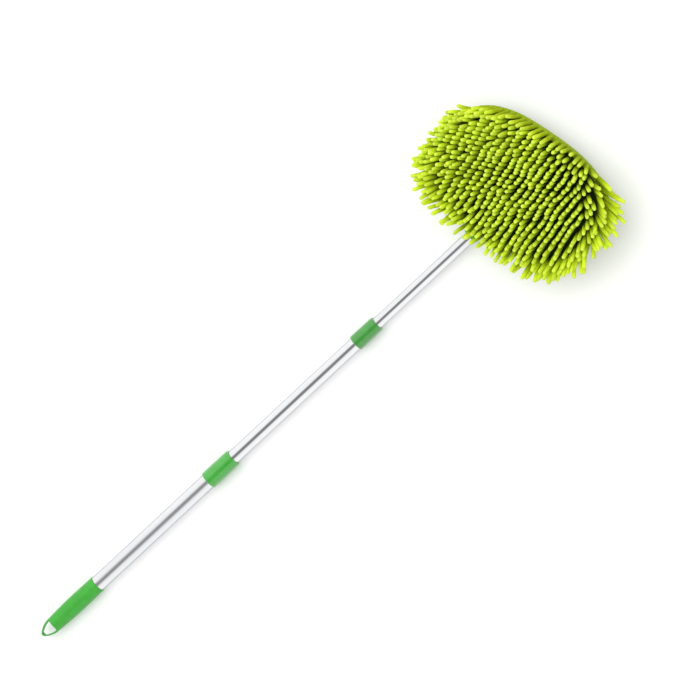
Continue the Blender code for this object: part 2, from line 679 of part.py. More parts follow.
def grow_strand(bm, root, lean):
    """Raise one four-sided strand, bent once, from the four corners of its root."""
    centre = sum((corner.co for corner in root), Vector()) / len(root)
    base_length = STRAND_LENGTH * STRAND_BEND_SHARE
    tip_length = STRAND_LENGTH - base_length
    lower = leaning(lean * ROOT_LEAN_SHARE)
    upper = leaning(lean * TIP_LEAN_SHARE)
    bend = centre + lower @ Vector((0, 0, base_length))
    tip = bend + upper @ Vector((0, 0, tip_length))
    ring = list(root)
    for place, turn, share in ((bend, lower, STRAND_BODY_SHARE), (tip, upper, STRAND_TIP_SHARE)):
        outer = []
        for corner in root:
            offset = corner.co - centre
            flat = Vector((offset.x * share[0], offset.y * share[1], 0))
            outer.append(bm.verts.new(place + turn @ flat))
        for index in range(len(ring)):
            after = (index + 1) % len(ring)
            bm.faces.new((ring[index], ring[after], outer[after], outer[index]))
        ring = outer
    bm.faces.new(ring)


def make_chenille(parent):
    """The chenille face in slices: a crowned backing, and a strand on every other cell of it."""
    jitter = random.Random(STRAND_SEED)
    pile_inset = SHOULDER_RADIUS + SEAM_GAP
    per_slice = STRAND_COLUMNS // PILE_SLICES
    for number in range(PILE_SLICES):
        bm = bmesh.new()
        first, last = number * per_slice, (number + 1) * per_slice
        top, bottom = {}, {}
        for column in range(first, last + 1):
            for row in range(STRAND_ROWS + 1):
                short = 2 * row / STRAND_ROWS - 1
                long = 2 * column / STRAND_COLUMNS - 1
                x, y = rounded(short, long, pile_inset)
                y += GAP / 2 if column == first else 0
                y -= GAP / 2 if column == last else 0
                height = underside(short, long)
                top[column, row] = bm.verts.new((x, y, height + PILE_BACKING))
                if column in (first, last) or row in (0, STRAND_ROWS):
                    bottom[column, row] = bm.verts.new((x, y, height))
        for column in range(first, last):
            for row in range(STRAND_ROWS):
                cell = [top[column, row], top[column, row + 1]]
                cell += [top[column + 1, row + 1], top[column + 1, row]]
                if (column + row) % 2:
                    bm.faces.new(cell)
                    continue
                middle = sum((corner.co for corner in cell), Vector()) / len(cell)
                edge = max(abs(middle.x / (COVER_WIDTH / 2 - pile_inset)),
                           abs(middle.y / (COVER_LENGTH / 2 - pile_inset)))
                grow_strand(bm, cell, strand_lean(middle.x, middle.y, edge, jitter))
        close_slice(bm, top, bottom, first, last)
        name = "chenille_slice_" + str(number + 1)
        add_part(name, bm, parent, (LIME, 0.8))


def close_slice(bm, top, bottom, first, last):
    """Side walls and underside of one slice's backing."""
    loop = [(column, 0) for column in range(first, last)]
    loop += [(last, row) for row in range(STRAND_ROWS)]
    loop += [(column, STRAND_ROWS) for column in range(last, first, -1)]
    loop += [(first, row) for row in range(STRAND_ROWS, 0, -1)]
    for one, two in zip(loop, loop[1:] + loop[:1]):
        bm.faces.new((top[one], top[two], bottom[two], bottom[one]))
    for row in range(STRAND_ROWS):
        low = [(first, row), (last, row)]
        high = [(last, row + 1), (first, row + 1)]
        if row == 0:
            low = [(column, 0) for column in range(first, last + 1)]
        if row == STRAND_ROWS - 1:
            high = [(column, STRAND_ROWS) for column in range(last, first - 1, -1)]
        bm.faces.new([bottom[key] for key in low + high])


# Assembly

def make_joints():
    """An empty on each joint's axis, in a chain from the grip to the head."""
    stations = {
        "pole_base": GRIP_MOUTH_X,
        "lower_slide": MIDDLE_TUBE_X,
        "lower_twist": MIDDLE_TUBE_X,
        "upper_slide": UPPER_TUBE_X,
        "upper_twist": UPPER_TUBE_X,
        "yaw": 0.0,
    }
    joints = {}
    parent = None
    last_x = 0.0
    for name, station in stations.items():
        height = AXIS_HEIGHT if parent is None else 0.0
        joints[name] = add_empty(name, (station - last_x, 0, height), parent)
        joints[name]["station"] = station
        parent, last_x = joints[name], station
    joints["yaw"].rotation_euler = (0, 0, HEAD_TURN)
    joints["tilt"] = add_empty("tilt", (YAW_TO_TILT, 0, 0), joints["yaw"])
    # The neck is drawn from the yaw pin's station
    joints["neck"] = add_empty("neck", (-UPPER_TUBE_X, 0, 0), joints["upper_twist"])
    joints["neck"]["station"] = 0.0
    return joints


def build():
    clear_scene()
    joints = make_joints()
    base, middle, upper = joints["pole_base"], joints["lower_twist"], joints["upper_twist"]
    neck_frame, head = joints["neck"], joints["tilt"]

    make_grip(base)
    tube_end = tube_end_in_collar(LOWER_COLLAR_X, LOWER_COLLAR_LENGTH)
    make_tube("lower_tube", LOWER_TUBE_RADIUS, GRIP_MOUTH_X - TUBE_IN_GRIP, tube_end, base)
    make_collar("lower_collar", LOWER_TUBE_RADIUS, MIDDLE_TUBE_RADIUS, LOWER_COLLAR_LENGTH,
                LOWER_COLLAR_FOOT_RADIUS, LOWER_COLLAR_TOP_RADIUS, base, LOWER_COLLAR_X)
    make_bush("lower_guide_bush", LOWER_TUBE_RADIUS, MIDDLE_TUBE_RADIUS, LOWER_COLLAR_LENGTH,
              base, LOWER_COLLAR_X)
    make_cam_sleeve("lower_cam_sleeve", MIDDLE_TUBE_RADIUS, LOWER_TUBE_RADIUS,
                    joints["lower_slide"], MIDDLE_TUBE_X)

    make_cam_plug("lower_cam_plug", MIDDLE_TUBE_RADIUS, middle, MIDDLE_TUBE_X)
    tube_end = tube_end_in_collar(UPPER_COLLAR_X, UPPER_COLLAR_LENGTH)
    make_tube("middle_tube", MIDDLE_TUBE_RADIUS, MIDDLE_TUBE_X, tube_end, middle)
    make_collar("upper_collar", MIDDLE_TUBE_RADIUS, UPPER_TUBE_RADIUS, UPPER_COLLAR_LENGTH,
                UPPER_COLLAR_FOOT_RADIUS, UPPER_COLLAR_TOP_RADIUS, middle, UPPER_COLLAR_X)
    make_bush("upper_guide_bush", MIDDLE_TUBE_RADIUS, UPPER_TUBE_RADIUS, UPPER_COLLAR_LENGTH,
              middle, UPPER_COLLAR_X)
    make_cam_sleeve("upper_cam_sleeve", UPPER_TUBE_RADIUS, MIDDLE_TUBE_RADIUS,
                    joints["upper_slide"], UPPER_TUBE_X)

    make_cam_plug("upper_cam_plug", UPPER_TUBE_RADIUS, upper, UPPER_TUBE_X)
    tube_end = NECK_MOUTH_X + SOCKET_DEPTH
    tube = make_tube("upper_tube", UPPER_TUBE_RADIUS, UPPER_TUBE_X, tube_end, upper)
    neck = make_neck(neck_frame)
    make_neck_screw(neck, tube, neck_frame)
    make_yaw_pin(neck_frame)

    make_swivel_block(joints["yaw"])

    make_tilt_pin(head)
    make_tilt_washers(head)
    make_back_plate(head)
    make_foam(head)
    make_cover_edges(head)
    make_chenille(head)


build()
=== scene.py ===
# Looks of the car wash brush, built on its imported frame. Lengths are in metres.
#
# The brush lies on its back. The pole runs along X at POLE_Z, from the grip at -X to the head.
# Pieces of the head are drawn in the head's own frame, as in the part's source: X is the pad's
# short way, away from the pole, Y its long way, and heights count from the tilt axis.

import json
import math
import random

import bmesh
import bpy
import numpy as np
from mathutils import Matrix, Vector, noise


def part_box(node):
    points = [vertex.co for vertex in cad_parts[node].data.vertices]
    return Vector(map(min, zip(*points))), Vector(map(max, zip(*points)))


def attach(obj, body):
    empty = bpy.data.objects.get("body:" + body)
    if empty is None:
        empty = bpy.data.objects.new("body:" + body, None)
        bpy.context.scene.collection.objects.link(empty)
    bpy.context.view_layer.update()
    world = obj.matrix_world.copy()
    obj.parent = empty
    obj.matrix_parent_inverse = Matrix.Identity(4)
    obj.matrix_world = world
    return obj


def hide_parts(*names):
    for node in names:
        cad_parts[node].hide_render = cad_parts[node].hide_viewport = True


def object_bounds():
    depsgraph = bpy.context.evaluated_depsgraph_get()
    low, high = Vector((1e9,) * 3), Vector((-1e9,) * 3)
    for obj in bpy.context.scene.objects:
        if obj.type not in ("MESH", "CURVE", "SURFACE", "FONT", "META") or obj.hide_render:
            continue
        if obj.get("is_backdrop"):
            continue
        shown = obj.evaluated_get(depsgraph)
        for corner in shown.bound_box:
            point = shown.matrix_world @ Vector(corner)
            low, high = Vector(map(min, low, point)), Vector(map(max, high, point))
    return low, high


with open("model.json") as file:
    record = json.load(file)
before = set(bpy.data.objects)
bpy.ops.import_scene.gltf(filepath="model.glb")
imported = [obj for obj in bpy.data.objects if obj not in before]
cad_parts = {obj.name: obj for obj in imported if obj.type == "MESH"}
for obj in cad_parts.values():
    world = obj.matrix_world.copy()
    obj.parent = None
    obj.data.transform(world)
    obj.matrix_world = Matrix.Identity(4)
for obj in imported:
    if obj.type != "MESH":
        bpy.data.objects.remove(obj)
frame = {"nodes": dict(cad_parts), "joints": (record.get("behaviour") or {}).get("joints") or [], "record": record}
CAD_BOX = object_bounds()

# Pole
POLE_Z = 0.013
TUBE_WALL = 0.0008
TUBE_RADII = {"lower_tube": 0.0110, "middle_tube": 0.0095, "upper_tube": 0.0080}
# Each collar's outer radius at its foot and at its top
COLLAR_RADII = {"lower_collar": (0.0129, 0.0125), "upper_collar": (0.0115, 0.0108)}
COLLAR_GAP = 0.0003
COLLAR_LIP = 0.0050
COLLAR_EDGE = 0.0010
COLLAR_CHAMFER = 0.0004
TURNED_SIDES = 96
SHARP_ANGLE = math.radians(40)

# Hand grip
GRIP_MOUTH_RADIUS = 0.0121
GRIP_MIDDLE_RADIUS = 0.0125
GRIP_END_RADIUS = 0.0111
GRIP_SWELL_SHARE = 0.55
GRIP_STEPS = 12
GRIP_EDGE = 0.0008
GRIP_CHAMFER = 0.0003
TUBE_IN_GRIP = 0.058
LOOP_LENGTH = 0.0224
LOOP_THICKNESS = 0.0110
LOOP_STRAP = 0.0030
LOOP_TIP_RADIUS = 0.0022
LOOP_SEAT_HALF_WIDTH = 0.0022
GRIP_VOXEL = 0.00040
GRIP_SMOOTHING = 6
GRIP_SHARE_KEPT = 0.30
CUT_REACH = 0.03
CUT_BEYOND = 0.01

# Head, as in the part's source
COVER_LENGTH = 0.240
COVER_WIDTH = 0.160
COVER_SQUARENESS = 2.7
OUTLINE_STEPS = 4000
PLATE_BACK = 0.0160
PLATE_TOP = 0.0192
RIM_UNDERSIDE = 0.0291
RIM_TOP = 0.0313
SHOULDER_RADIUS = 0.0080
CROWN = 0.0050
FABRIC = 0.0014

# Side band
BAND_STEPS = 420
BAND_BELOW_SHOULDER = 0.0015
# The turn at the plate's back, as insets and as heights over it
BAND_TURN = ((0.0010, 0.0001), (0.0003, 0.0012), (0.0, 0.0034))
# The swell, what it changes by, and how many times a metre
BAND_SWELL = 0.0022
SWELL_CHANGE = 0.00035
SWELL_CHANGES = 38
PUCKER_DEPTH = 0.00022

# Hem and elastic
THIN_GAP = 0.0001
HEM_WIDTH = 0.0160
HEM_GAP = 0.0004
HEM_DEPTH = 0.0016
HEM_INNER_DEPTH = 0.0011
HEM_LIP_INSET = 0.0013
HEM_EDGE_INSET = 0.0011
HEM_EDGE_RADIUS = 0.0008
HEM_INSETS = (0.003, 0.006, 0.009, 0.012, 0.0145, 0.0158)
HEM_STEPS = 640
HEM_FOLD = 0.00075
HEM_FOLDS_START = 0.002
HEM_FOLDS_GROW = 0.012
ELASTIC_WIDTH = 0.0083
ELASTIC_TUCK = 0.0006
ELASTIC_DEPTH = 0.0010
ELASTIC_RIDGES = 9
ELASTIC_RIDGE = 0.00012
ELASTIC_STEPS = 480

# Folds round the head: spacing, radians of wander, changes a metre, and a place in the noise
PUCKERS = (0.0082, 3, 25, 3)
GATHERS = (0.0064, 5, 22, 1)
# The gathers' depth: its middle, what it changes by, changes a metre, and a place in the noise
GATHER_DEPTH = (0.6, 0.4, 40, 7)

# Stitches
STITCH_LENGTH = 0.0026
STITCH_GAP = 0.0012
STITCH_RADIUS = 0.00028
STITCH_END_SHARE = 0.45
STITCH_SINK = 0.6
STITCH_SIDES = 6
STITCH_RINGS = 5
SHOULDER_STITCHES = {"inset": 0.0066, "height": RIM_TOP - 0.0001, "tip": math.radians(8)}
HEM_STITCHES = {"inset": 0.0135, "height": PLATE_BACK - 0.0021, "tip": math.pi}

# Foam
FOAM_EDGE = 0.0050
FOAM_SIDE_GAP = 0.0010
FOAM_TOP_GAP = 0.0006
FOAM_BASE_GAP = 0.0003
FOAM_CROWN_SHARE = 0.94
FOAM_PORES = 0.00015
FOAM_PORES_A_METRE = 300
FOAM_SHARP_ANGLE = math.radians(60)
FOAM_ROWS = 24
FOAM_COLUMNS = 36

# Edges of the pieces at the neck
MOULDED_EDGE = 0.00045
TURNED_EDGE = 0.00015
EDGE_ANGLE = math.radians(50)
SAME_POINT = 0.000001

# Chenille
STRAND_ACROSS = 0.0066
STRAND_ALONG = 0.0092
STRAND_LENGTH = 0.0315
STRAND_RADIUS = 0.0029
RIM_LENGTH = 0.0360
END_LENGTH = 0.0080
END_MIDDLE_SHARE = 0.65
STRAND_SIDES = 14
STRAND_RINGS = 17
# How far up the painted shade the outer rows' roots start, as a share along a strand
OUTER_ROOT = 0.58
SHEET_TUCK = 0.0014
SHEET_DROP = 0.0004
# The backing sheet's level in the painted shade, which keeps it dark, and its tone
SHEET_PAINTED_SHADE = 0.12
SHEET_SHADE = 0.5
SHEET_ROWS = 30
SHEET_COLUMNS = 44
ROOT_DEPTH = 0.0010
ROOT_SCATTER = 0.0003
RIM_STEPS = 2000
RIM_ROW_SPACING = 0.0083
RIM_ROW_SPREAD = (0.9, 1.1)
FAR_ROOT_SHIFT = 0.0024
END_CLOSENESS = 0.18
# Rows along the rim: inset, share of the hang, and how near the ends they stay, from 0 for all round
RIM_ROWS = ((0.0042, 1.0, 0.0), (0.0078, 0.80, 0.45), (0.0116, 0.45, 0.0))
PILE_INSET = 0.0160
PILE_SEED = 11

# One strand, whose rings crowd towards the tip and whose body is thickest near the middle
RING_CROWDING = 0.85
LEAN_AT_ROOT = 0.50
LEAN_GROWS = 1.00
BODY_AT_ROOT = 0.74
BODY_BELLY = 0.30
BELLY_START = 0.15
BELLY_SHARE = 0.75
TIP_RADIUS = 0.0002
LENGTH_SPREAD = (0.94, 1.06)
END_SHORTER = 0.10
RADIUS_SPREAD = (0.93, 1.06)
LUMP_DEPTH = 0.14
LUMPS_ROUND = 0.9
LUMPS_ALONG = 260

# How the strands lie
LIE_POWER = 1.5
# Degrees of lean towards +X and +Y at the pad's middle, and what each side adds. Near is the side
# towards the pole, left and right are the ends at +Y and -Y.
LIE_MIDDLE = (-7, 6)
LIE_NEAR = (-30, -3)
LIE_FAR = (-11, 3)
LIE_LEFT = (-10, 17)
LIE_RIGHT = (-14, -12)
LIE_FAR_RIGHT = (30, -24)
LIE_FAR_LEFT = (-2, 20)

# How the outermost strands flop over the rim, at the right end and at the left end's near side
HANG_START = 0.47
HANG_FULL = 0.74
HANG_RIGHT = (-20, -32)
HANG_FAN = (44, -46)
HANG_CURL = -14
HANG_LEFT = (-24, 42)
HANG_MOST = 62
EDGE_HANG = 0.18
OUTER_HANG = 0.75
EDGE_DEPTH = 0.009
SWIRL = 7
SWIRL_SIZE = 0.030
SWIRL_SHIFT = Vector((9, 5, 3))

# Degrees of scatter in each strand, on the pad and added at the rim
HEADING_SCATTER = (3.5, 3.0)
CURL_SCATTER = (6.0, 5.0)
LEAN_SCATTER = (2.0, 1.5)

# Camera, fitted to the photograph's pole
CAMERA_PLACE = (0.7720, -0.38706, 5.3928)
CAMERA_RIGHT = (0.717494, -0.669687, -0.191628)
CAMERA_UP = (0.668482, 0.739325, -0.080801)
CAMERA_LENS = 212.24
CAMERA_SENSOR = 36.0
CAMERA_NEAREST = 0.05
CAMERA_FARTHEST = 60.0

# Light
SUN_STRENGTH = 1.25
SUN_WIDTH = math.radians(64)
SUN_TOWARDS = (-0.14, 0.46, 1.0)
SKY_STRENGTH = 0.72
# Gloss sees a ceiling that is dark near CEILING_MIDDLE and pale past CEILING_PALE, in Y, and pale
# again towards both ends, in X.
CEILING_MIDDLE = -0.10
CEILING_DARK = 0.20
CEILING_PALE = 0.60
CEILING_END = 0.45
CEILING_PALE_END = 0.85
CEILING_DARK_STRENGTH = 0.22
CEILING_PALE_STRENGTH = 1.08
FLOOR_REACH = 6.0
FLOOR_COLOUR = (0.78, 0.78, 0.78, 1.0)
FLOOR_SEEN_COLOUR = (0.97, 0.97, 0.97, 1.0)
FLOOR_LIFT = 0.13
WHITE = (1.0, 1.0, 1.0, 1.0)

# Colours
# A dark tint of the tubes' reflection towards their edges: painted shade along their outlines
TUBE_PAINTED_EDGE_SHADE = (0.30, 0.30, 0.31)
GREEN = (0.048, 0.430, 0.035)
COLLAR_GREEN = (0.032, 0.415, 0.020)
# The upper collar's green: the collar green made darker, as painted shade
PAINTED_SHADE_COLLAR_GREEN = (0.026, 0.315, 0.016)
DARK_GREEN = (0.035, 0.280, 0.030)
# The knit between its loops, where it is darkened as painted shade, and on its loops
KNIT_DARK = (0.260, 0.400, 0.008)
KNIT_LIGHT = (0.520, 0.700, 0.030)
THREAD_LIME = (0.50, 0.66, 0.04)

# Weaves
KNIT_WALE = 0.0016
KNIT_COURSE = 0.0013
WEAVE_RIB = 0.0011
WEAVE_CROSS = 0.0009
TUFT_WANDER = 0.0006


# Helpers

def joint(name):
    return next(found for found in frame["joints"] if found["name"] == name)


def body_of(node_name):
    bodies = frame["record"]["behaviour"]["bodies"]
    return next(name for name, members in bodies.items() if node_name in members)


def head_matrix():
    """From the head's own frame to the row frame, read from the tilt joint."""
    tilt = joint("head_tilt")
    along = Vector(tilt["axis"]).normalized()
    up = Vector((0, 0, 1))
    across = along.cross(up)
    turn = Matrix((across, along, up)).transposed().to_4x4()
    return Matrix.Translation(Vector(tilt["pos_m"])) @ turn


HEAD = head_matrix()


def add_mesh(name, vertices, faces, matrix=None, smooth=True, uvs=None, sharp=None):
    """A mesh object from plain lists, with its place in its mesh."""
    mesh = bpy.data.meshes.new(name)
    mesh.from_pydata([tuple(v) for v in vertices], [], faces)
    if uvs is not None:
        layer = mesh.uv_layers.new(name="UVMap")
        for loop in mesh.loops:
            layer.data[loop.index].uv = uvs[loop.vertex_index]
    if matrix is not None:
        mesh.transform(matrix)
    if smooth:
        mesh.shade_smooth()
    if sharp is not None:
        mesh.set_sharp_from_angle(angle=sharp)
    mesh.validate()
    work = bmesh.new()
    work.from_mesh(mesh)
    bmesh.ops.recalc_face_normals(work, faces=work.faces)
    if work.calc_volume(signed=True) < 0:
        bmesh.ops.reverse_faces(work, faces=work.faces)
    work.to_mesh(mesh)
    work.free()
    made = bpy.data.objects.new(name, mesh)
    bpy.context.scene.collection.objects.link(made)
    return made


def finish_piece(piece, body, slot, material, *nodes):
    piece.data.materials.clear()
    piece.data.materials.append(material)
    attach(piece, body)
    if nodes:
        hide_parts(*nodes)


def arc(centre, radius, start, end, steps):
    """Points of an arc, angles in degrees, both ends included."""
    points = []
    for step in range(steps + 1):
        angle = math.radians(start + (end - start) * step / steps)
        points.append((centre[0] + radius * math.cos(angle), centre[1] + radius * math.sin(angle)))
    return points


def ring_faces(rings, sides, closed):
    """Quads between rings of the same number of points, and round the section if closed."""
    faces = []
    last = rings if closed else rings - 1
    for ring in range(last):
        here, there = ring * sides, (ring + 1) % rings * sides
        for side in range(sides):
            after = (side + 1) % sides
            faces.append((here + side, here + after, there + after, there + side))
    return faces


def closed_rings(start, rings, sides):
    """Faces of a stack of rings that is closed at both ends, counted from a first point."""
    faces = [tuple(start + i for i in face) for face in ring_faces(rings, sides, closed=False)]
    faces.append(tuple(start + side for side in reversed(range(sides))))
    faces.append(tuple(start + (rings - 1) * sides + side for side in range(sides)))
    return faces


def turned_points(section, shift_x):
    """Each (x, radius) point of a section as a ring about the pole's axis."""
    points = []
    for x, radius in section:
        for side in range(TURNED_SIDES):
            angle = 2 * math.pi * side / TURNED_SIDES
            points.append((shift_x + x, radius * math.cos(angle), POLE_Z + radius * math.sin(angle)))
    return points


def turned(name, section, shift_x):
    """A closed section of (x, radius) points, turned about the pole's axis."""
    faces = ring_faces(len(section), TURNED_SIDES, closed=True)
    return add_mesh(name, turned_points(section, shift_x), faces, sharp=SHARP_ANGLE)


def apply_modifiers(piece):
    graph = bpy.context.evaluated_depsgraph_get()
    mesh = bpy.data.meshes.new_from_object(piece.evaluated_get(graph))
    piece.modifiers.clear()
    piece.data = mesh


# Materials

class Nodes:
    """Short-hand for a node tree."""

    def __init__(self, tree):
        self.tree = tree
        self.coordinates = tree.nodes.new("ShaderNodeTexCoord")

    def add(self, kind, settings=None, **inputs):
        node = self.tree.nodes.new("ShaderNode" + kind)
        for key, value in (settings or {}).items():
            setattr(node, key, value)
        for key, value in inputs.items():
            self.feed(node, key.replace("_", " "), value)
        return node

    def feed(self, node, key, value):
        """Link or set a socket, by its name or as i with its number."""
        numbered = key[0] == "i" and key[1:].isdigit()
        socket = node.inputs[int(key[1:])] if numbered else node.inputs[key]
        if isinstance(value, bpy.types.NodeSocket):
            self.tree.links.new(value, socket)
        else:
            socket.default_value = value

    def point(self, scale=(1, 1, 1)):
        return self.add("Mapping", Vector=self.coordinates.outputs["Object"], Scale=scale).outputs["Vector"]

    def noise(self, vector, scale, detail, roughness=0.55):
        made = self.add("TexNoise", Vector=vector, Scale=scale, Detail=detail, Roughness=roughness)
        return made.outputs["Fac"]

    def math(self, operation, first, second=0.0, third=None):
        node = self.add("Math", {"operation": operation}, i0=first, i1=second)
        if third is not None:
            self.feed(node, "i2", third)
        return node.outputs["Value"]

    def ramp(self, factor, stops):
        node = self.add("ValToRGB", Fac=factor)
        elements = node.color_ramp.elements
        while len(elements) < len(stops):
            elements.new(0.5)
        for element, (place, colour) in zip(elements, stops):
            element.position = place
            element.color = (*colour, 1.0)
        return node.outputs["Color"]

    def span(self, factor, given, wanted, interpolation="LINEAR"):
        """The given range of a value carried to the wanted one."""
        node = self.add("MapRange", {"interpolation_type": interpolation}, Value=factor)
        for key, value in zip(("From Min", "From Max", "To Min", "To Max"), (*given, *wanted)):
            node.inputs[key].default_value = value
        return node.outputs["Result"]

    def choose(self, factor, first, second):
        """The first number where the factor is 0, and the second where it is 1."""
        return self.add("Mix", {"data_type": "FLOAT"}, i0=factor, i2=first, i3=second).outputs[0]

    def mix(self, factor, first, second, blend="MIX"):
        settings = {"data_type": "RGBA", "blend_type": blend}
        return self.add("Mix", settings, i0=factor, i6=first, i7=second).outputs[2]

    def bump(self, height, distance, strength, normal=None):
        node = self.add("Bump", Height=height, Distance=distance, Strength=strength)
        if normal is not None:
            self.feed(node, "Normal", normal)
        return node.outputs["Normal"]

    def spread(self, value):
        """A value from 0 to 1 as a vector about zero."""
        shift = self.math("SUBTRACT", value, 0.5)
        return self.add("CombineXYZ", X=shift, Y=shift, Z=shift).outputs["Vector"]

    def attribute(self, name):
        return self.add("Attribute", {"attribute_name": name}).outputs["Fac"]


class Surface(Nodes):
    """Short-hand for one material and its shader."""

    def __init__(self, name):
        self.material = bpy.data.materials.new(name)
        self.material.use_nodes = True
        super().__init__(self.material.node_tree)
        self.shader = self.tree.nodes["Principled BSDF"]

    def set(self, **inputs):
        for key, value in inputs.items():
            self.feed(self.shader, key.replace("_", " "), value)
        return self.material


def scaled(colour, factor, lift=0.0):
    """A colour made darker or paler."""
    return tuple(min(1.0, factor * value + lift) for value in colour)


def plastic(name, colour, roughness, grain=0.00004, polish=0.0):
    """Injection-moulded plastic: a faint mottle, a fine skin and paler sharp edges."""
    n = Surface(name)
    mottle = n.noise(n.point(), scale=90.0, detail=3.0)
    base = n.ramp(mottle, [(0.30, scaled(colour, 0.92)), (0.70, scaled(colour, 1.06, lift=0.004))])
    edge = n.add("NewGeometry").outputs["Pointiness"]
    paler_edge = n.span(edge, (0.52, 0.60), (0.0, 0.35))
    base = n.mix(paler_edge, base, (*scaled(colour, 1.25, lift=0.03), 1.0))
    smear = n.noise(n.point((30, 120, 120)), scale=1.0, detail=4.0)
    gloss = n.span(smear, (0.3, 0.7), (roughness - 0.05, roughness + 0.08))
    skin = n.noise(n.point(), scale=2600.0, detail=2.0)
    n.set(Specular_IOR_Level=0.5 + 0.5 * polish, Coat_Weight=polish, Coat_Roughness=0.14)
    return n.set(Base_Color=base, Roughness=gloss, Normal=n.bump(skin, grain, strength=0.5))


def aluminium(name, roughness):
    """Drawn tube: long fine lines, a slightly uneven sheen and faint handling marks."""
    n = Surface(name)
    lines = n.noise(n.point((4, 900, 900)), scale=1.0, detail=5.0, roughness=0.6)
    broad = n.noise(n.point((6, 60, 60)), scale=1.0, detail=3.0)
    base = n.ramp(broad, [(0.3, (0.80, 0.815, 0.835)), (0.7, (0.88, 0.885, 0.89))])
    marks = n.noise(n.point((300, 40, 40)), scale=1.0, detail=6.0, roughness=0.7)
    haze = n.span(marks, (0.62, 0.80), (0.0, 0.16))
    sheen = n.span(lines, (0.3, 0.7), (roughness - 0.045, roughness + 0.045))
    # The dark edge tint paints shade along the tube's outline
    n.set(Specular_Tint=(*TUBE_PAINTED_EDGE_SHADE, 1.0), Normal=n.bump(lines, 0.00002, strength=0.6))
    return n.set(Base_Color=base, Metallic=1.0, Roughness=n.math("ADD", sheen, haze))


def steel(name):
    n = Surface(name)
    cloud = n.noise(n.point(), scale=500.0, detail=4.0)
    base = n.ramp(cloud, [(0.3, (0.50, 0.51, 0.52)), (0.7, (0.66, 0.66, 0.65))])
    gloss = n.span(cloud, (0.3, 0.7), (0.24, 0.42))
    return n.set(Base_Color=base, Metallic=1.0, Roughness=gloss,
                 Normal=n.bump(cloud, 0.00003, strength=0.4))


def nylon(name):
    n = Surface(name)
    cloud = n.noise(n.point(), scale=300.0, detail=3.0)
    base = n.ramp(cloud, [(0.3, (0.66, 0.66, 0.63)), (0.7, (0.74, 0.74, 0.72))])
    gloss = n.span(cloud, (0.3, 0.7), (0.42, 0.55))
    skin = n.noise(n.point(), scale=2200.0, detail=2.0)
    return n.set(Base_Color=base, Roughness=gloss, Normal=n.bump(skin, 0.00003, strength=0.5))


def chenille(name):
    """Fluffy microfibre in small fluffy tufts, with painted shade dark green in its depth and a painted highlight
    bright lime at the tips.
    """
    n = Surface(name)
    along = n.attribute("along")
    shade = n.attribute("shade")
    clump = n.noise(n.point(), scale=420.0, detail=3.0, roughness=0.6)
    # Painted shade and highlight along each strand: near black at the root, lime in the middle and a pale yellow
    # painted highlight at the tip
    base = n.ramp(along, [
        (0.00, (0.008, 0.026, 0.0005)),
        (0.31, (0.054, 0.108, 0.001)),
        (0.64, (0.480, 0.630, 0.010)),
        (0.85, (0.715, 0.905, 0.036)),
        (1.00, (0.790, 0.970, 0.105)),
    ])
    # Each tuft is a cell, paler at its middle as a painted highlight and darker in the furrow round it as painted
    # shade
    wander = n.noise(n.point(), scale=900.0, detail=2.0)
    shift = n.add("VectorMath", {"operation": "SCALE"}, i0=n.spread(wander), Scale=TUFT_WANDER)
    place = n.add("VectorMath", {"operation": "ADD"}, i0=n.point(), i1=shift.outputs[0])
    cells = n.add("TexVoronoi", {"feature": "SMOOTH_F1"}, Vector=place.outputs[0], Scale=1500.0,
                  Smoothness=0.5)
    furrow = cells.outputs["Distance"]
    tint = n.span(shade, (0.0, 1.0), (0.88, 1.12))
    tint = n.math("MULTIPLY", tint, n.span(clump, (0.3, 0.7), (0.92, 1.08)))
    tint = n.math("MULTIPLY", tint, n.span(furrow, (0.10, 0.60), (1.22, 0.98)))
    base = n.mix(1.0, base, tint, "MULTIPLY")
    fuzz = n.noise(n.point(), scale=2400.0, detail=4.0, roughness=0.7)
    tufts = n.noise(n.point(), scale=560.0, detail=2.0, roughness=0.5)
    normal = n.bump(tufts, 0.0008, strength=0.7)
    normal = n.bump(n.math("SUBTRACT", 1.0, furrow), 0.00045, strength=0.9, normal=normal)
    normal = n.bump(fuzz, 0.0003, strength=0.9, normal=normal)
    return n.set(Base_Color=base, Roughness=0.92, Sheen_Weight=0.30, Sheen_Roughness=0.45,
                 Sheen_Tint=(0.85, 1.0, 0.12, 1.0), Specular_IOR_Level=0.05, Normal=normal)


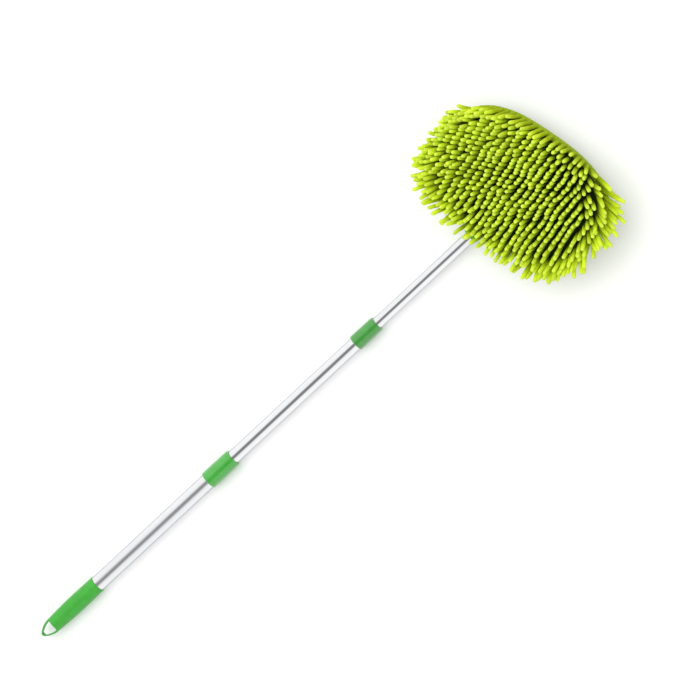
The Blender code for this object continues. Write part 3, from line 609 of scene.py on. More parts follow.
def knit(name, dark, light):
    """Knitted cloth on a strip whose UV map is in metres: rows of V-shaped loops."""
    n = Surface(name)
    split = n.add("SeparateXYZ", Vector=n.coordinates.outputs["UV"])
    across = n.math("FRACT", n.math("DIVIDE", split.outputs["X"], KNIT_WALE))
    side = n.math("ABSOLUTE", n.math("MULTIPLY_ADD", across, 2.0, -1.0))
    along = n.math("DIVIDE", split.outputs["Y"], KNIT_COURSE)
    phase = n.math("MULTIPLY_ADD", side, 0.5, along)
    wave = n.math("SINE", n.math("MULTIPLY", phase, 2 * math.pi))
    wave = n.math("MULTIPLY_ADD", wave, 0.5, 0.5)
    gutter = n.math("SINE", n.math("MULTIPLY", across, math.pi))
    loops = n.math("MULTIPLY", wave, n.math("POWER", gutter, 0.5))
    fuzz = n.noise(n.point(), scale=1800.0, detail=4.0, roughness=0.7)
    fluffy = n.math("MULTIPLY_ADD", loops, 0.6, n.math("MULTIPLY", fuzz, 0.4))
    # The colour follows the loops' height: darker between the loops as painted shade, with a random tone from the
    # fuzz
    base = n.ramp(fluffy, [(0.15, dark), (0.75, light)])
    cloud = n.noise(n.point(), scale=55.0, detail=3.0)
    base = n.mix(1.0, base, n.span(cloud, (0.3, 0.7), (0.88, 1.08)), "MULTIPLY")
    normal = n.bump(loops, 0.00035, strength=0.8)
    normal = n.bump(fuzz, 0.00020, strength=0.6, normal=normal)
    return n.set(Base_Color=base, Roughness=0.88, Sheen_Weight=0.30, Sheen_Roughness=0.4,
                 Sheen_Tint=(0.92, 1.0, 0.55, 1.0), Specular_IOR_Level=0.2, Normal=normal)


def elastic(name):
    """A woven band with ribs along it, on a strip whose UV map is in metres."""
    n = Surface(name)
    split = n.add("SeparateXYZ", Vector=n.coordinates.outputs["UV"])
    ribs = n.math("SINE", n.math("MULTIPLY", split.outputs["Y"], 2 * math.pi / WEAVE_RIB))
    cross = n.math("SINE", n.math("MULTIPLY", split.outputs["X"], 2 * math.pi / WEAVE_CROSS))
    raised = n.math("MULTIPLY_ADD", ribs, 0.25, 0.5)
    weave = n.math("MULTIPLY_ADD", n.math("MULTIPLY", ribs, cross), 0.25, raised)
    fuzz = n.noise(n.point(), scale=1600.0, detail=4.0)
    fluffy = n.math("MULTIPLY_ADD", weave, 0.7, n.math("MULTIPLY", fuzz, 0.3))
    # The colour follows the weave's height: darker in its grooves as painted shade, with a random tone from the
    # fuzz
    base = n.ramp(fluffy, [(0.2, (0.46, 0.47, 0.43)), (0.8, (0.72, 0.73, 0.68))])
    return n.set(Base_Color=base, Roughness=0.8, Sheen_Weight=0.15,
                 Normal=n.bump(weave, 0.00025, strength=0.8))


def foam(name):
    n = Surface(name)
    cells = n.add("TexVoronoi", Vector=n.point(), Scale=900.0).outputs["Distance"]
    # Darker in the middle of each pore, where the bump is lowest: painted shade
    base = n.ramp(cells, [(0.1, (0.16, 0.17, 0.18)), (0.7, (0.42, 0.43, 0.44))])
    return n.set(Base_Color=base, Roughness=0.95, Normal=n.bump(cells, 0.0005, strength=1.0))


def thread(name, colour):
    n = Surface(name)
    twist = n.noise(n.point(), scale=3000.0, detail=2.0)
    base = n.ramp(twist, [(0.3, scaled(colour, 0.7)), (0.7, colour)])
    return n.set(Base_Color=base, Roughness=0.6, Sheen_Weight=0.2,
                 Normal=n.bump(twist, 0.0001, strength=0.6))


LOOK = {
    "grip": plastic("grip_plastic", GREEN, 0.34),
    "lower_collar": plastic("collar_plastic", COLLAR_GREEN, 0.28, polish=0.8),
    # The upper collar: a darker copy of the collar plastic, painted shade
    "upper_collar": plastic("painted_shade_collar_plastic", PAINTED_SHADE_COLLAR_GREEN, 0.28, polish=0.8),
    "neck": plastic("neck_plastic", GREEN, 0.34),
    "swivel": plastic("swivel_plastic", DARK_GREEN, 0.40),
    "plate": plastic("plate_plastic", DARK_GREEN, 0.45, grain=0.00006),
    "lower_tube": aluminium("satin_aluminium", 0.31),
    "middle_tube": aluminium("drawn_aluminium", 0.195),
    "upper_tube": aluminium("drawn_aluminium_fine", 0.195),
    "steel": steel("zinc_plated_steel"),
    "nylon": nylon("nylon"),
    "chenille": chenille("chenille"),
    "knit": knit("lime_knit", KNIT_DARK, KNIT_LIGHT),
    "elastic": elastic("woven_elastic"),
    "foam": foam("open_cell_foam"),
    "thread": thread("lime_thread", THREAD_LIME),
}


# Camera, light and floor

def make_camera():
    data = bpy.data.cameras.new("camera")
    data.lens = CAMERA_LENS
    data.sensor_width = CAMERA_SENSOR
    data.clip_start, data.clip_end = CAMERA_NEAREST, CAMERA_FARTHEST
    camera = bpy.data.objects.new("camera", data)
    bpy.context.scene.collection.objects.link(camera)
    right, up = Vector(CAMERA_RIGHT), Vector(CAMERA_UP)
    turn = Matrix((right, up, right.cross(up))).transposed().to_4x4()
    camera.matrix_world = Matrix.Translation(Vector(CAMERA_PLACE)) @ turn
    bpy.context.scene.camera = camera


def make_floor():
    """A plain floor, near white where the camera or a gloss sees it."""
    near, far = -FLOOR_REACH, FLOOR_REACH
    corners = [(near, near, 0), (far, near, 0), (far, far, 0), (near, far, 0)]
    floor = add_mesh("floor", corners, [(0, 1, 2, 3)], smooth=False)
    n = Surface("pale_floor")
    path = n.add("LightPath")
    seen = n.math("MAXIMUM", path.outputs["Is Camera Ray"], path.outputs["Is Glossy Ray"])
    colour = n.mix(seen, FLOOR_COLOUR, FLOOR_SEEN_COLOUR)
    n.set(Emission_Color=WHITE, Emission_Strength=n.math("MULTIPLY", seen, FLOOR_LIFT))
    n.material.cycles.emission_sampling = "NONE"
    floor.data.materials.append(n.set(Base_Color=colour, Roughness=1.0, Specular_IOR_Level=0.0))
    floor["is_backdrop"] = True


def make_light():
    data = bpy.data.lights.new("key", "SUN")
    data.energy = SUN_STRENGTH
    data.angle = SUN_WIDTH
    key = bpy.data.objects.new("key", data)
    bpy.context.scene.collection.objects.link(key)
    key.visible_glossy = False
    key.rotation_euler = Vector(SUN_TOWARDS).to_track_quat("Z", "Y").to_euler()


def make_world():
    """An even pale sky. Gloss also sees a dark strip of ceiling along the pole."""
    world = bpy.data.worlds.new("world")
    bpy.context.scene.world = world
    world.use_nodes = True
    n = Nodes(world.node_tree)
    split = n.add("SeparateXYZ", Vector=n.coordinates.outputs["Generated"])
    away = n.math("ABSOLUTE", n.math("SUBTRACT", split.outputs["Y"], CEILING_MIDDLE))
    along = n.math("ABSOLUTE", split.outputs["X"])
    strip = n.span(away, (CEILING_DARK, CEILING_PALE), (CEILING_DARK_STRENGTH, CEILING_PALE_STRENGTH),
                   "SMOOTHSTEP")
    ends = n.span(along, (CEILING_END, CEILING_PALE_END), (0.0, CEILING_PALE_STRENGTH), "SMOOTHSTEP")
    path = n.add("LightPath")
    ceiling = n.choose(path.outputs["Is Glossy Ray"], SKY_STRENGTH, n.math("MAXIMUM", strip, ends))
    background = n.tree.nodes["Background"]
    n.feed(background, "Color", WHITE)
    n.feed(background, "Strength", n.choose(path.outputs["Is Camera Ray"], ceiling, 1.0))


# Pole

def make_tube(name):
    """A tube whose edges are broken."""
    low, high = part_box(name)
    radius = TUBE_RADII[name]
    bore = radius - TUBE_WALL
    length = high.x - low.x
    edge = TUBE_WALL / 4
    section = [(edge, bore), (0, bore + edge), (0, radius - edge), (edge, radius)]
    section += [(length - x, out) for x, out in reversed(section)]
    tube = turned(name + "_drawn", section, low.x)
    finish_piece(tube, body_of(name), "pole_aluminium", LOOK[name], name)


def make_collar(name, held_tube, passing_tube):
    """A plain cap that tapers a little, with rounded rims and a stepped bore."""
    low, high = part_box(name)
    length = high.x - low.x
    held = TUBE_RADII[held_tube] + COLLAR_GAP
    passing = TUBE_RADII[passing_tube] + COLLAR_GAP
    foot, top = COLLAR_RADII[name]
    edge = COLLAR_EDGE
    section = [(COLLAR_CHAMFER, held), (0, held + COLLAR_CHAMFER)]
    section += arc((edge, foot - edge), edge, 180, 90, steps=6)
    section += [(length * share, foot + (top - foot) * share) for share in (0.25, 0.5, 0.75)]
    section += arc((length - edge, top - edge), edge, 90, 0, steps=6)
    section += [(length, passing + COLLAR_CHAMFER), (length - COLLAR_CHAMFER, passing)]
    section += [(length - COLLAR_LIP, passing), (length - COLLAR_LIP, held)]
    collar = turned(name + "_cap", section, low.x)
    finish_piece(collar, body_of(name), "green_collar", LOOK[name], name)


def nose_radius():
    """The radius of the curve from the sleeve's end to the loop's tip."""
    rise = GRIP_END_RADIUS - LOOP_TIP_RADIUS
    return (LOOP_LENGTH ** 2 + rise ** 2) / (2 * rise)


def grip_profile(length):
    """(x, radius) points of the grip from the loop's tip to the mouth, and down its bore."""
    nose = nose_radius()
    nose_angle = math.degrees(math.asin(LOOP_LENGTH / nose))
    profile = arc((0, GRIP_END_RADIUS - nose), nose, 90 + nose_angle, 90, steps=24)
    swell = length * GRIP_SWELL_SHARE
    mouth_start = length - GRIP_EDGE
    for step in range(1, GRIP_STEPS):
        x = mouth_start * step / GRIP_STEPS
        if x < swell:
            bulge = math.sin(math.pi / 2 * x / swell)
            radius = GRIP_END_RADIUS + (GRIP_MIDDLE_RADIUS - GRIP_END_RADIUS) * bulge
        else:
            fall = (1 - math.cos(math.pi * (x - swell) / (length - swell))) / 2
            radius = GRIP_MIDDLE_RADIUS + (GRIP_MOUTH_RADIUS - GRIP_MIDDLE_RADIUS) * fall
        profile.append((x, radius))
    profile += arc((mouth_start, GRIP_MOUTH_RADIUS - GRIP_EDGE), GRIP_EDGE, 90, 0, steps=5)
    bore = TUBE_RADII["lower_tube"] + COLLAR_GAP
    profile += [(length, bore + GRIP_CHAMFER), (length - GRIP_CHAMFER, bore)]
    profile.append((length - TUBE_IN_GRIP - COLLAR_GAP, bore))
    return profile


def make_grip():
    """The sleeve and its flat hang loop, turned, cut and softened."""
    low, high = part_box("hand_grip")
    base_x = low.x + LOOP_LENGTH
    profile = grip_profile(high.x - base_x)
    vertices = turned_points(profile, base_x)
    faces = ring_faces(len(profile), TURNED_SIDES, closed=False)
    tip = len(vertices)
    vertices.append((base_x - LOOP_LENGTH, 0, POLE_Z))
    floor = len(vertices)
    vertices.append((base_x + profile[-1][0], 0, POLE_Z))
    last = (len(profile) - 1) * TURNED_SIDES
    for side in range(TURNED_SIDES):
        after = (side + 1) % TURNED_SIDES
        faces.append((tip, after, side))
        faces.append((floor, last + side, last + after))
    grip = add_mesh("grip_sleeve", vertices, faces)
    cutters = loop_cutters(base_x)
    for cutter in cutters:
        cut = grip.modifiers.new("cut", "BOOLEAN")
        cut.operation, cut.solver, cut.object = "DIFFERENCE", "MANIFOLD", cutter
    # An even mesh, smoothed, gives every edge the small radius of a moulding
    even = grip.modifiers.new("even", "REMESH")
    even.mode, even.voxel_size = "VOXEL", GRIP_VOXEL
    soft = grip.modifiers.new("soft", "SMOOTH")
    soft.factor, soft.iterations = 0.5, GRIP_SMOOTHING
    light = grip.modifiers.new("light", "DECIMATE")
    light.ratio = GRIP_SHARE_KEPT
    apply_modifiers(grip)
    for cutter in cutters:
        bpy.data.objects.remove(cutter)
    grip.data.shade_smooth()
    finish_piece(grip, "pole_base", "green_grip", LOOK["grip"], "hand_grip")


def loop_cutters(base_x):
    """Two blocks that leave the loop flat, and the prism of its open middle."""
    half = LOOP_THICKNESS / 2
    left = -LOOP_LENGTH - CUT_BEYOND
    block = [(left, -CUT_REACH), (0.0, -CUT_REACH), (0.0, CUT_REACH), (left, CUT_REACH)]
    nose = nose_radius()
    inner_radius = nose - LOOP_STRAP
    centre = GRIP_END_RADIUS - nose
    inner_angle = math.degrees(math.acos((LOOP_SEAT_HALF_WIDTH - centre) / inner_radius))
    side_arc = arc((0, centre), inner_radius, 90 + inner_angle, 90, steps=20)
    opening = side_arc + [(x, -y) for x, y in reversed(side_arc)]
    return [
        prism(block, base_x, half, CUT_REACH),
        prism(block, base_x, -CUT_REACH, -half),
        prism(opening, base_x - LOOP_STRAP / 2, -CUT_REACH, CUT_REACH),
    ]


def prism(outline, shift_x, bottom, top):
    """A cutter from a flat outline, between two heights off the pole's axis."""
    count = len(outline)
    vertices = [(shift_x + x, y, POLE_Z + height) for height in (bottom, top) for x, y in outline]
    faces = [tuple(range(count)), tuple(range(2 * count - 1, count - 1, -1))]
    for index in range(count):
        after = (index + 1) % count
        faces.append((index, count + index, count + after, after))
    return add_mesh("cutter", vertices, faces, smooth=False)


# Head

def outline_points(count):
    """Points evenly spaced round the cover's outline, their normals, and the way to each."""
    fine = []
    power = 2 / COVER_SQUARENESS
    for step in range(OUTLINE_STEPS):
        angle = 2 * math.pi * step / OUTLINE_STEPS
        c, s = math.cos(angle), math.sin(angle)
        x = math.copysign(abs(c) ** power, c) * COVER_WIDTH / 2
        y = math.copysign(abs(s) ** power, s) * COVER_LENGTH / 2
        fine.append((x, y))
    fine = np.array(fine)
    steps = np.linalg.norm(np.roll(fine, -1, axis=0) - fine, axis=1)
    length = np.concatenate(([0.0], np.cumsum(steps)))
    places = np.linspace(0, length[-1], count, endpoint=False)
    closed = np.vstack((fine, fine[:1]))
    points = np.stack([np.interp(places, length, closed[:, axis]) for axis in (0, 1)], axis=1)
    tangent = np.roll(points, -1, axis=0) - np.roll(points, 1, axis=0)
    normal = np.stack((tangent[:, 1], -tangent[:, 0]), axis=1)
    normal /= np.linalg.norm(normal, axis=1)[:, None]
    return points, normal, places


def rounded(short, long, inset):
    """Square coordinates to the outline: even inside, true at the rim."""
    power = COVER_SQUARENESS
    norm = (abs(short) ** power + abs(long) ** power) ** (1 / power)
    square = max(abs(short), abs(long))
    pull = 1.0 if norm == 0 else 1 - square ** 2 * (1 - square / norm)
    return (short * pull * (COVER_WIDTH / 2 - inset), long * pull * (COVER_LENGTH / 2 - inset))


def crown(x, y):
    short = min(1.0, abs(x) / (COVER_WIDTH / 2))
    long = min(1.0, abs(y) / (COVER_LENGTH / 2))
    return CROWN * (1 - short ** 2) * (1 - long ** 2)


def ribbon(name, section, count, wave):
    """A closed section of (inset, height) points carried round the head.

    The UV map is in metres. wave gives what is added to a point's inset and height, from its place
    round the head in metres and its number in the section.
    """
    points, normals, places = outline_points(count)
    vertices, uvs = [], []
    travelled = [0.0]
    for one, two in zip(section, section[1:]):
        travelled.append(travelled[-1] + math.dist(one, two))
    for index, (inset, height) in enumerate(section):
        for step in range(count):
            more_inset, more_height = wave(places[step], index)
            x, y = points[step] - normals[step] * (inset + more_inset)
            vertices.append((x, y, height + more_height))
            uvs.append((places[step], travelled[index]))
    faces = ring_faces(len(section), count, closed=True)
    strip = add_mesh(name, vertices, faces, HEAD, uvs=uvs)
    # The faces that close the round run on to its full length instead of back to zero
    layer = strip.data.uv_layers[0].data
    total = places[-1] * count / (count - 1)
    for face in strip.data.polygons:
        if max(layer[i].uv.x for i in face.loop_indices) > total * 3 / 4:
            for i in face.loop_indices:
                if layer[i].uv.x < total / 4:
                    layer[i].uv.x += total
    return strip


def fold_phase(place, folds):
    """The phase of folds that wander, at a place round the head in metres."""
    spacing, wander, changes, seed = folds
    return place * 2 * math.pi / spacing + wander * noise.noise(Vector((place * changes, seed, 0)))


def make_band():
    """The knitted side: its turn at the plate's back, the wall and the shoulder."""
    centre = (SHOULDER_RADIUS, RIM_TOP - SHOULDER_RADIUS)
    outer = [(inset, PLATE_BACK + height) for inset, height in BAND_TURN]
    outer.append((0.0, centre[1] - BAND_BELOW_SHOULDER))
    outer += arc(centre, SHOULDER_RADIUS, 180, 94, steps=12)
    inner = arc(centre, SHOULDER_RADIUS - FABRIC, 94, 180, steps=12)
    inner += [(FABRIC, PLATE_BACK + BAND_TURN[turn][1]) for turn in (-1, 0)]

    def wave(place, index):
        share = min(index, len(outer)) / len(outer)
        fade = math.sin(math.pi * share)
        change = noise.noise(Vector((place * SWELL_CHANGES, 0.0, share * 2.0)))
        pucker = PUCKER_DEPTH * math.sin(fold_phase(place, PUCKERS))
        return (-fade * (BAND_SWELL + SWELL_CHANGE * change) + (1 - share) * pucker, 0.0)

    band = ribbon("cover_band", outer + inner, BAND_STEPS, wave)
    finish_piece(band, "head", "cover_cloth", LOOK["knit"], "side_band")


def make_hem():
    """The gathered turn of the cover under the plate, up to the elastic."""
    top = PLATE_BACK - HEM_GAP
    low = top - HEM_DEPTH
    section = [(HEM_LIP_INSET, top - THIN_GAP)]
    section += arc((HEM_EDGE_INSET, (top + low) / 2), HEM_EDGE_RADIUS, 110, 250, steps=6)
    section += [(inset, low) for inset in HEM_INSETS]
    section += [(inset, low + HEM_INNER_DEPTH) for inset in reversed(HEM_INSETS)]

    def wave(place, index):
        inset = section[index][0]
        gather = min(1.0, max(0.0, (inset - HEM_FOLDS_START) / HEM_FOLDS_GROW))
        middle, change, changes, seed = GATHER_DEPTH
        depth = middle + change * noise.noise(Vector((place * changes, seed, 0)))
        fold = math.sin(fold_phase(place, GATHERS)) * depth
        return (0.0, HEM_FOLD * gather * (fold - 0.5))

    hem = ribbon("gathered_hem", section, HEM_STEPS, wave)
    finish_piece(hem, "head", "cover_cloth", LOOK["knit"], "back_hem")


def make_elastic():
    """The band at the hem's inner edge, ridged along its length and drawn up by the gathers."""
    top = PLATE_BACK - HEM_GAP
    start = HEM_WIDTH - ELASTIC_TUCK
    lower = []
    for ridge in range(ELASTIC_RIDGES + 1):
        for part, height in ((0.0, 0.0), (0.5, ELASTIC_RIDGE)):
            share = (ridge + part) / (ELASTIC_RIDGES + 0.5)
            lower.append((start + ELASTIC_WIDTH * share, top - ELASTIC_DEPTH - height))
    upper = [(start + ELASTIC_WIDTH, top - THIN_GAP), (start, top - THIN_GAP)]

    def wave(place, index):
        if index >= len(lower):
            return (0.0, 0.0)
        return (0.0, ELASTIC_RIDGE * (math.sin(fold_phase(place, GATHERS)) + 1))

    band = ribbon("hem_elastic_band", lower + upper, ELASTIC_STEPS, wave)
    finish_piece(band, "head", "elastic", LOOK["elastic"], "hem_elastic")


def make_stitches(name, inset, height, tip):
    """A row of thread stitches round the head. tip leans the row's normal off the vertical."""
    points, normals, places = outline_points(OUTLINE_STEPS)
    total = places[-1]
    count = int(total / (STITCH_LENGTH + STITCH_GAP))
    vertices, faces = [], []
    for number in range(count):
        middle = (number + 0.5) / count * OUTLINE_STEPS
        for ring in range(STITCH_RINGS):
            share = ring / (STITCH_RINGS - 1)
            at = int(middle + (share - 0.5) * STITCH_LENGTH / total * OUTLINE_STEPS) % OUTLINE_STEPS
            base = points[at] - normals[at] * inset
            lift = math.sin(math.pi * share)
            radius = STITCH_RADIUS * (STITCH_END_SHARE + (1 - STITCH_END_SHARE) * lift)
            normal_x, normal_y = normals[at]
            out = Vector((normal_x * math.sin(tip), normal_y * math.sin(tip), math.cos(tip)))
            centre = Vector((base[0], base[1], height)) + out * STITCH_RADIUS * (lift - STITCH_SINK)
            side_way = out.cross(Vector((-normal_y, normal_x, 0)))
            for side in range(STITCH_SIDES):
                angle = 2 * math.pi * side / STITCH_SIDES
                vertices.append(centre + (out * math.sin(angle) + side_way * math.cos(angle)) * radius)
        faces += closed_rings(number * STITCH_SIDES * STITCH_RINGS, STITCH_RINGS, STITCH_SIDES)
    stitches = add_mesh(name, vertices, faces, HEAD)
    finish_piece(stitches, "head", "cover_cloth", LOOK["thread"])


def two_sheets(rows, columns, spot, vertices, faces):
    """A lower and an upper sheet of quads. spot places a point from its shares and its level.

    Returns the points' numbers by level, row and column, and the rows and columns of the rim.
    """
    index = {}
    for level in (0, 1):
        for row in range(rows + 1):
            for column in range(columns + 1):
                index[level, row, column] = len(vertices)
                vertices.append(spot(2 * row / rows - 1, 2 * column / columns - 1, level))
    for row in range(rows):
        for column in range(columns):
            for level in (0, 1):
                quad = [index[level, row, column], index[level, row + 1, column]]
                quad += [index[level, row + 1, column + 1], index[level, row, column + 1]]
                faces.append(tuple(quad if level else reversed(quad)))
    rim = [(row, 0) for row in range(rows)] + [(rows, column) for column in range(columns)]
    rim += [(row, columns) for row in range(rows, 0, -1)]
    rim += [(0, column) for column in range(columns, 0, -1)]
    return index, rim


def make_foam():
    """The foam pad, inside its cover."""
    side_gap = FABRIC + FOAM_SIDE_GAP
    top_z = RIM_UNDERSIDE - FOAM_TOP_GAP
    vertices, faces = [], []

    def spot(short, long, level):
        x, y = rounded(short, long, side_gap + (FOAM_EDGE if level else 0.0))
        if not level:
            return (x, y, PLATE_TOP + FOAM_BASE_GAP)
        place = Vector((x * FOAM_PORES_A_METRE, y * FOAM_PORES_A_METRE, level))
        pores = FOAM_PORES * noise.noise(place)
        return (x, y, top_z + crown(x, y) * FOAM_CROWN_SHARE + pores)

    index, rim = two_sheets(FOAM_ROWS, FOAM_COLUMNS, spot, vertices, faces)
    middle = []
    for row, column in rim:
        x, y = rounded(2 * row / FOAM_ROWS - 1, 2 * column / FOAM_COLUMNS - 1, side_gap)
        middle.append(len(vertices))
        vertices.append((x, y, top_z - FOAM_EDGE))
    for at, one in enumerate(rim):
        after = (at + 1) % len(rim)
        two = rim[after]
        faces.append((index[0, *one], index[0, *two], middle[after], middle[at]))
        faces.append((middle[at], middle[after], index[1, *two], index[1, *one]))
    pad = add_mesh("foam_core", vertices, faces, HEAD, sharp=FOAM_SHARP_ANGLE)
    finish_piece(pad, "head", "foam", LOOK["foam"], "foam_pad")


# Chenille

def end_share(long):
    """How far a place is into the right end, from 0 to 1."""
    share = min(1.0, max(0.0, (-long - HANG_START) / (HANG_FULL - HANG_START)))
    return share * share * (3 - 2 * share)


def lie(x, y, hang):
    """A strand's lean as a flat vector in radians. hang runs from 0 on the pad to 1 at the rim."""
    short, long = 2 * x / COVER_WIDTH, 2 * y / COVER_LENGTH
    near, far = max(0.0, -short), max(0.0, short)
    left, right = max(0.0, long), max(0.0, -long)
    lean = np.array(LIE_MIDDLE, float)
    for amount, way in ((near, LIE_NEAR), (far, LIE_FAR), (left, LIE_LEFT), (right, LIE_RIGHT)):
        lean += np.array(way) * amount ** LIE_POWER
    lean += far * right * np.array(LIE_FAR_RIGHT) + far * left * np.array(LIE_FAR_LEFT)
    lean += hang * end_share(long) * (np.array(HANG_RIGHT) + short * np.array(HANG_FAN))
    lean += hang * left ** LIE_POWER * near * np.array(HANG_LEFT)
    place = Vector((x, y, 0.0)) / SWIRL_SIZE
    lean += SWIRL * np.array((noise.noise(place), noise.noise(place + SWIRL_SHIFT)))
    size = np.linalg.norm(lean)
    return np.radians(lean * min(1.0, HANG_MOST / size))


def inside(x, y, inset):
    """Whether a place is inside the outline drawn in by an inset."""
    short, long = abs(x) / (COVER_WIDTH / 2 - inset), abs(y) / (COVER_LENGTH / 2 - inset)
    return short ** COVER_SQUARENESS + long ** COVER_SQUARENESS < 1


def pad_roots(luck):
    """Roots in staggered rows over the pad, as x, y, z and the strand's hang over the rim."""
    roots = []
    rows = int(COVER_WIDTH / STRAND_ACROSS / 2) + 1
    columns = int(COVER_LENGTH / STRAND_ALONG / 2) + 1
    for column in range(-columns, columns + 1):
        for row in range(-rows, rows + 1):
            x = (row + 0.5 * (column % 2)) * STRAND_ACROSS
            y = column * STRAND_ALONG
            if not inside(x, y, PILE_INSET):
                continue
            x += luck.gauss(0, ROOT_SCATTER)
            y += luck.gauss(0, ROOT_SCATTER)
            hang = 0.0 if inside(x, y, PILE_INSET + EDGE_DEPTH) else EDGE_HANG
            roots.append((x, y, RIM_TOP + crown(x, y) - ROOT_DEPTH, hang))
    return roots


def rim_roots(luck):
    """Roots in rows along the rim, on its shoulder. At the far side they lie nearer the edge."""
    roots = []
    points, normals, places = outline_points(RIM_STEPS)
    for row_inset, hang, least_end in RIM_ROWS:
        travelled = 0.0
        while travelled < places[-1] - RIM_ROW_SPACING / 2:
            at = int(travelled / places[-1] * RIM_STEPS)
            end = abs(normals[at][1])
            if end >= least_end:
                inset = row_inset - FAR_ROOT_SHIFT * hang * max(0.0, normals[at][0])
                x, y = points[at] - normals[at] * inset
                below = max(0.0, SHOULDER_RADIUS - inset)
                drop = SHOULDER_RADIUS - math.sqrt(SHOULDER_RADIUS ** 2 - below ** 2)
                roots.append((x, y, RIM_TOP + crown(x, y) - drop - ROOT_DEPTH, hang))
            travelled += RIM_ROW_SPACING * (1 - END_CLOSENESS * end) * luck.uniform(*RIM_ROW_SPREAD)
    return roots


def scatter(amounts, hang):
    return math.radians(amounts[0] + amounts[1] * hang)


def make_strand(root, luck, vertices, faces, along, shade):
    """One round strand that bends over its length, with soft lumps and a round tip."""
    x, y, z, hang = root
    lean = lie(x, y, hang)
    end = hang * end_share(2 * y / COVER_LENGTH)
    heading = math.atan2(lean[1], lean[0]) + luck.gauss(0, scatter(HEADING_SCATTER, hang))
    curl = luck.gauss(0, scatter(CURL_SCATTER, hang))
    curl += math.radians(HANG_CURL) * end * max(0.0, 2 * x / COVER_WIDTH)
    size = max(0.0, float(np.linalg.norm(lean)) + luck.gauss(0, scatter(LEAN_SCATTER, hang)))
    length = STRAND_LENGTH + (RIM_LENGTH - STRAND_LENGTH) * hang ** 2
    length += END_LENGTH * end * (END_MIDDLE_SHARE + x / COVER_WIDTH)
    shortest, longest = LENGTH_SPREAD
    length *= luck.uniform(shortest - END_SHORTER * end, longest)
    thick = STRAND_RADIUS * luck.uniform(*RADIUS_SPREAD)
    # The strands of the two outer rows stand in the light, so their painted root shade is mostly lifted and they
    # are bright to their roots
    root_along = OUTER_ROOT if hang > OUTER_HANG else 0.0
    shadow = luck.random()
    phase = luck.uniform(0, 100)
    faces += closed_rings(len(vertices), STRAND_RINGS, STRAND_SIDES)
    place = np.array((x, y, z))
    last = STRAND_RINGS - 1
    travelled = 0.0
    for ring in range(STRAND_RINGS):
        share = math.sin(math.pi / 2 * (ring / last)) ** RING_CROWDING
        step = share * length - travelled
        travelled = share * length
        tilt = size * (LEAN_AT_ROOT + LEAN_GROWS * share)
        way = heading + curl * share
        ahead = np.array((math.cos(way) * math.sin(tilt), math.sin(way) * math.sin(tilt), math.cos(tilt)))
        sideways = np.array((-math.sin(way), math.cos(way), 0.0))
        over = np.cross(ahead, sideways)
        place = place + ahead * step
        belly = math.sin(math.pi * min(1.0, BELLY_START + BELLY_SHARE * share))
        body = thick * (BODY_AT_ROOT + BODY_BELLY * belly)
        # The last rings close up into a round tip
        left = max(0.0, length - travelled)
        if left < body:
            body = math.sqrt(max(0.0, body ** 2 - (body - left) ** 2))
        if ring == last:
            body = TIP_RADIUS
        for side in range(STRAND_SIDES):
            angle = 2 * math.pi * side / STRAND_SIDES
            c, s = math.cos(angle), math.sin(angle)
            spot = Vector((phase + c * LUMPS_ROUND, s * LUMPS_ROUND, travelled * LUMPS_ALONG))
            radius = body * (1 + LUMP_DEPTH * noise.noise(spot))
            vertices.append(tuple(place + (sideways * c + over * s) * radius))
            along.append(max(share, root_along))
            shade.append(shadow)


def make_pile():
    """All the strands, and the sheet that they are knitted into."""
    luck = random.Random(PILE_SEED)
    vertices, faces, along, shade = [], [], [], []
    for root in pad_roots(luck) + rim_roots(luck):
        make_strand(root, luck, vertices, faces, along, shade)

    def spot(short, long, level):
        x, y = rounded(short, long, SHOULDER_RADIUS - SHEET_TUCK)
        height = RIM_TOP - SHEET_DROP if level else RIM_UNDERSIDE
        return (x, y, height + crown(x, y))

    index, rim = two_sheets(SHEET_ROWS, SHEET_COLUMNS, spot, vertices, faces)
    for at, one in enumerate(rim):
        two = rim[(at + 1) % len(rim)]
        faces.append((index[0, *one], index[0, *two], index[1, *two], index[1, *one]))
    # The sheet is painted dark with shade, and gets a middle tone
    along += [SHEET_PAINTED_SHADE] * len(index)
    shade += [SHEET_SHADE] * len(index)
    pile = add_mesh("chenille_pile", vertices, faces, HEAD)
    for name, values in (("along", along), ("shade", shade)):
        layer = pile.data.attributes.new(name, "FLOAT", "POINT")
        layer.data.foreach_set("value", np.array(values, np.float32))
    slices = ["chenille_slice_" + str(number) for number in (1, 2, 3, 4)]
    finish_piece(pile, "head", "chenille", LOOK["chenille"], *slices)


# Neck, plate and the pieces inside the tubes

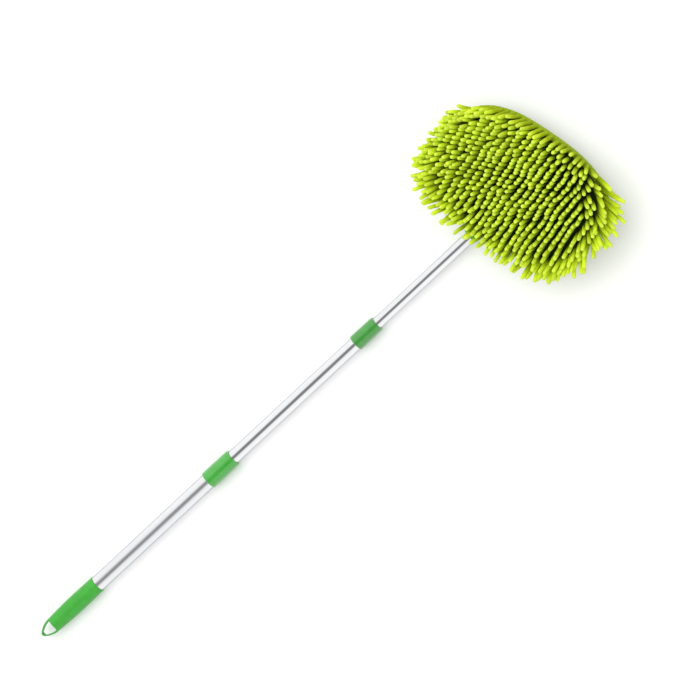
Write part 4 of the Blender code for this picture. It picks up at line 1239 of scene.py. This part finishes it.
def refined(node_name, look, slot, edge):
    """A moulded or machined piece on a CAD node's own form, with its edges rounded and smooth."""
    node = frame["nodes"][node_name]
    mesh = node.data.copy()
    mesh.name = node_name + "_refined"
    work = bmesh.new()
    work.from_mesh(mesh)
    bmesh.ops.remove_doubles(work, verts=work.verts, dist=SAME_POINT)
    work.to_mesh(mesh)
    work.free()
    piece = bpy.data.objects.new(mesh.name, mesh)
    piece.matrix_world = node.matrix_world
    bpy.context.scene.collection.objects.link(piece)
    bpy.context.view_layer.update()
    softened = piece.modifiers.new("edges", "BEVEL")
    softened.width, softened.segments = edge, 3
    softened.limit_method, softened.angle_limit = "ANGLE", EDGE_ANGLE
    softened.miter_outer = "MITER_ARC"
    softened.harden_normals = True
    mesh.shade_smooth()
    apply_modifiers(piece)
    finish_piece(piece, body_of(node_name), slot, LOOK[look], node_name)


def dress_nodes():
    """The pieces of the neck and the plate are refined. Those inside the tubes only get a material."""
    refined("neck_socket", "neck", "green_neck", MOULDED_EDGE)
    refined("swivel_block", "swivel", "dark_green_plastic", MOULDED_EDGE)
    refined("back_plate", "plate", "plate_plastic", MOULDED_EDGE)
    for name in ("neck_screw", "yaw_pin", "tilt_pin"):
        refined(name, "steel", "fastener_steel", TURNED_EDGE)
    for name in ("tilt_washer_left", "tilt_washer_right"):
        refined(name, "nylon", "nylon", TURNED_EDGE)
    for lock in ("lower", "upper"):
        for part, look in (("guide_bush", "nylon"), ("cam_sleeve", "nylon"), ("cam_plug", "swivel")):
            node = frame["nodes"][f"{lock}_{part}"]
            node.data.materials.clear()
            node.data.materials.append(LOOK[look])


bpy.context.scene.view_settings.view_transform = "Standard"
make_camera()
make_world()
make_light()
make_floor()
dress_nodes()
for tube_name in TUBE_RADII:
    make_tube(tube_name)
make_collar("lower_collar", "lower_tube", "middle_tube")
make_collar("upper_collar", "middle_tube", "upper_tube")
make_grip()
make_foam()
make_band()
make_hem()
make_elastic()
make_stitches("shoulder_stitches", **SHOULDER_STITCHES)
make_stitches("hem_stitches", **HEM_STITCHES)
make_pile()

boxes = {"cad": CAD_BOX, "visual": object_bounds()}
{name: [list(corner) for corner in box] for name, box in boxes.items()}
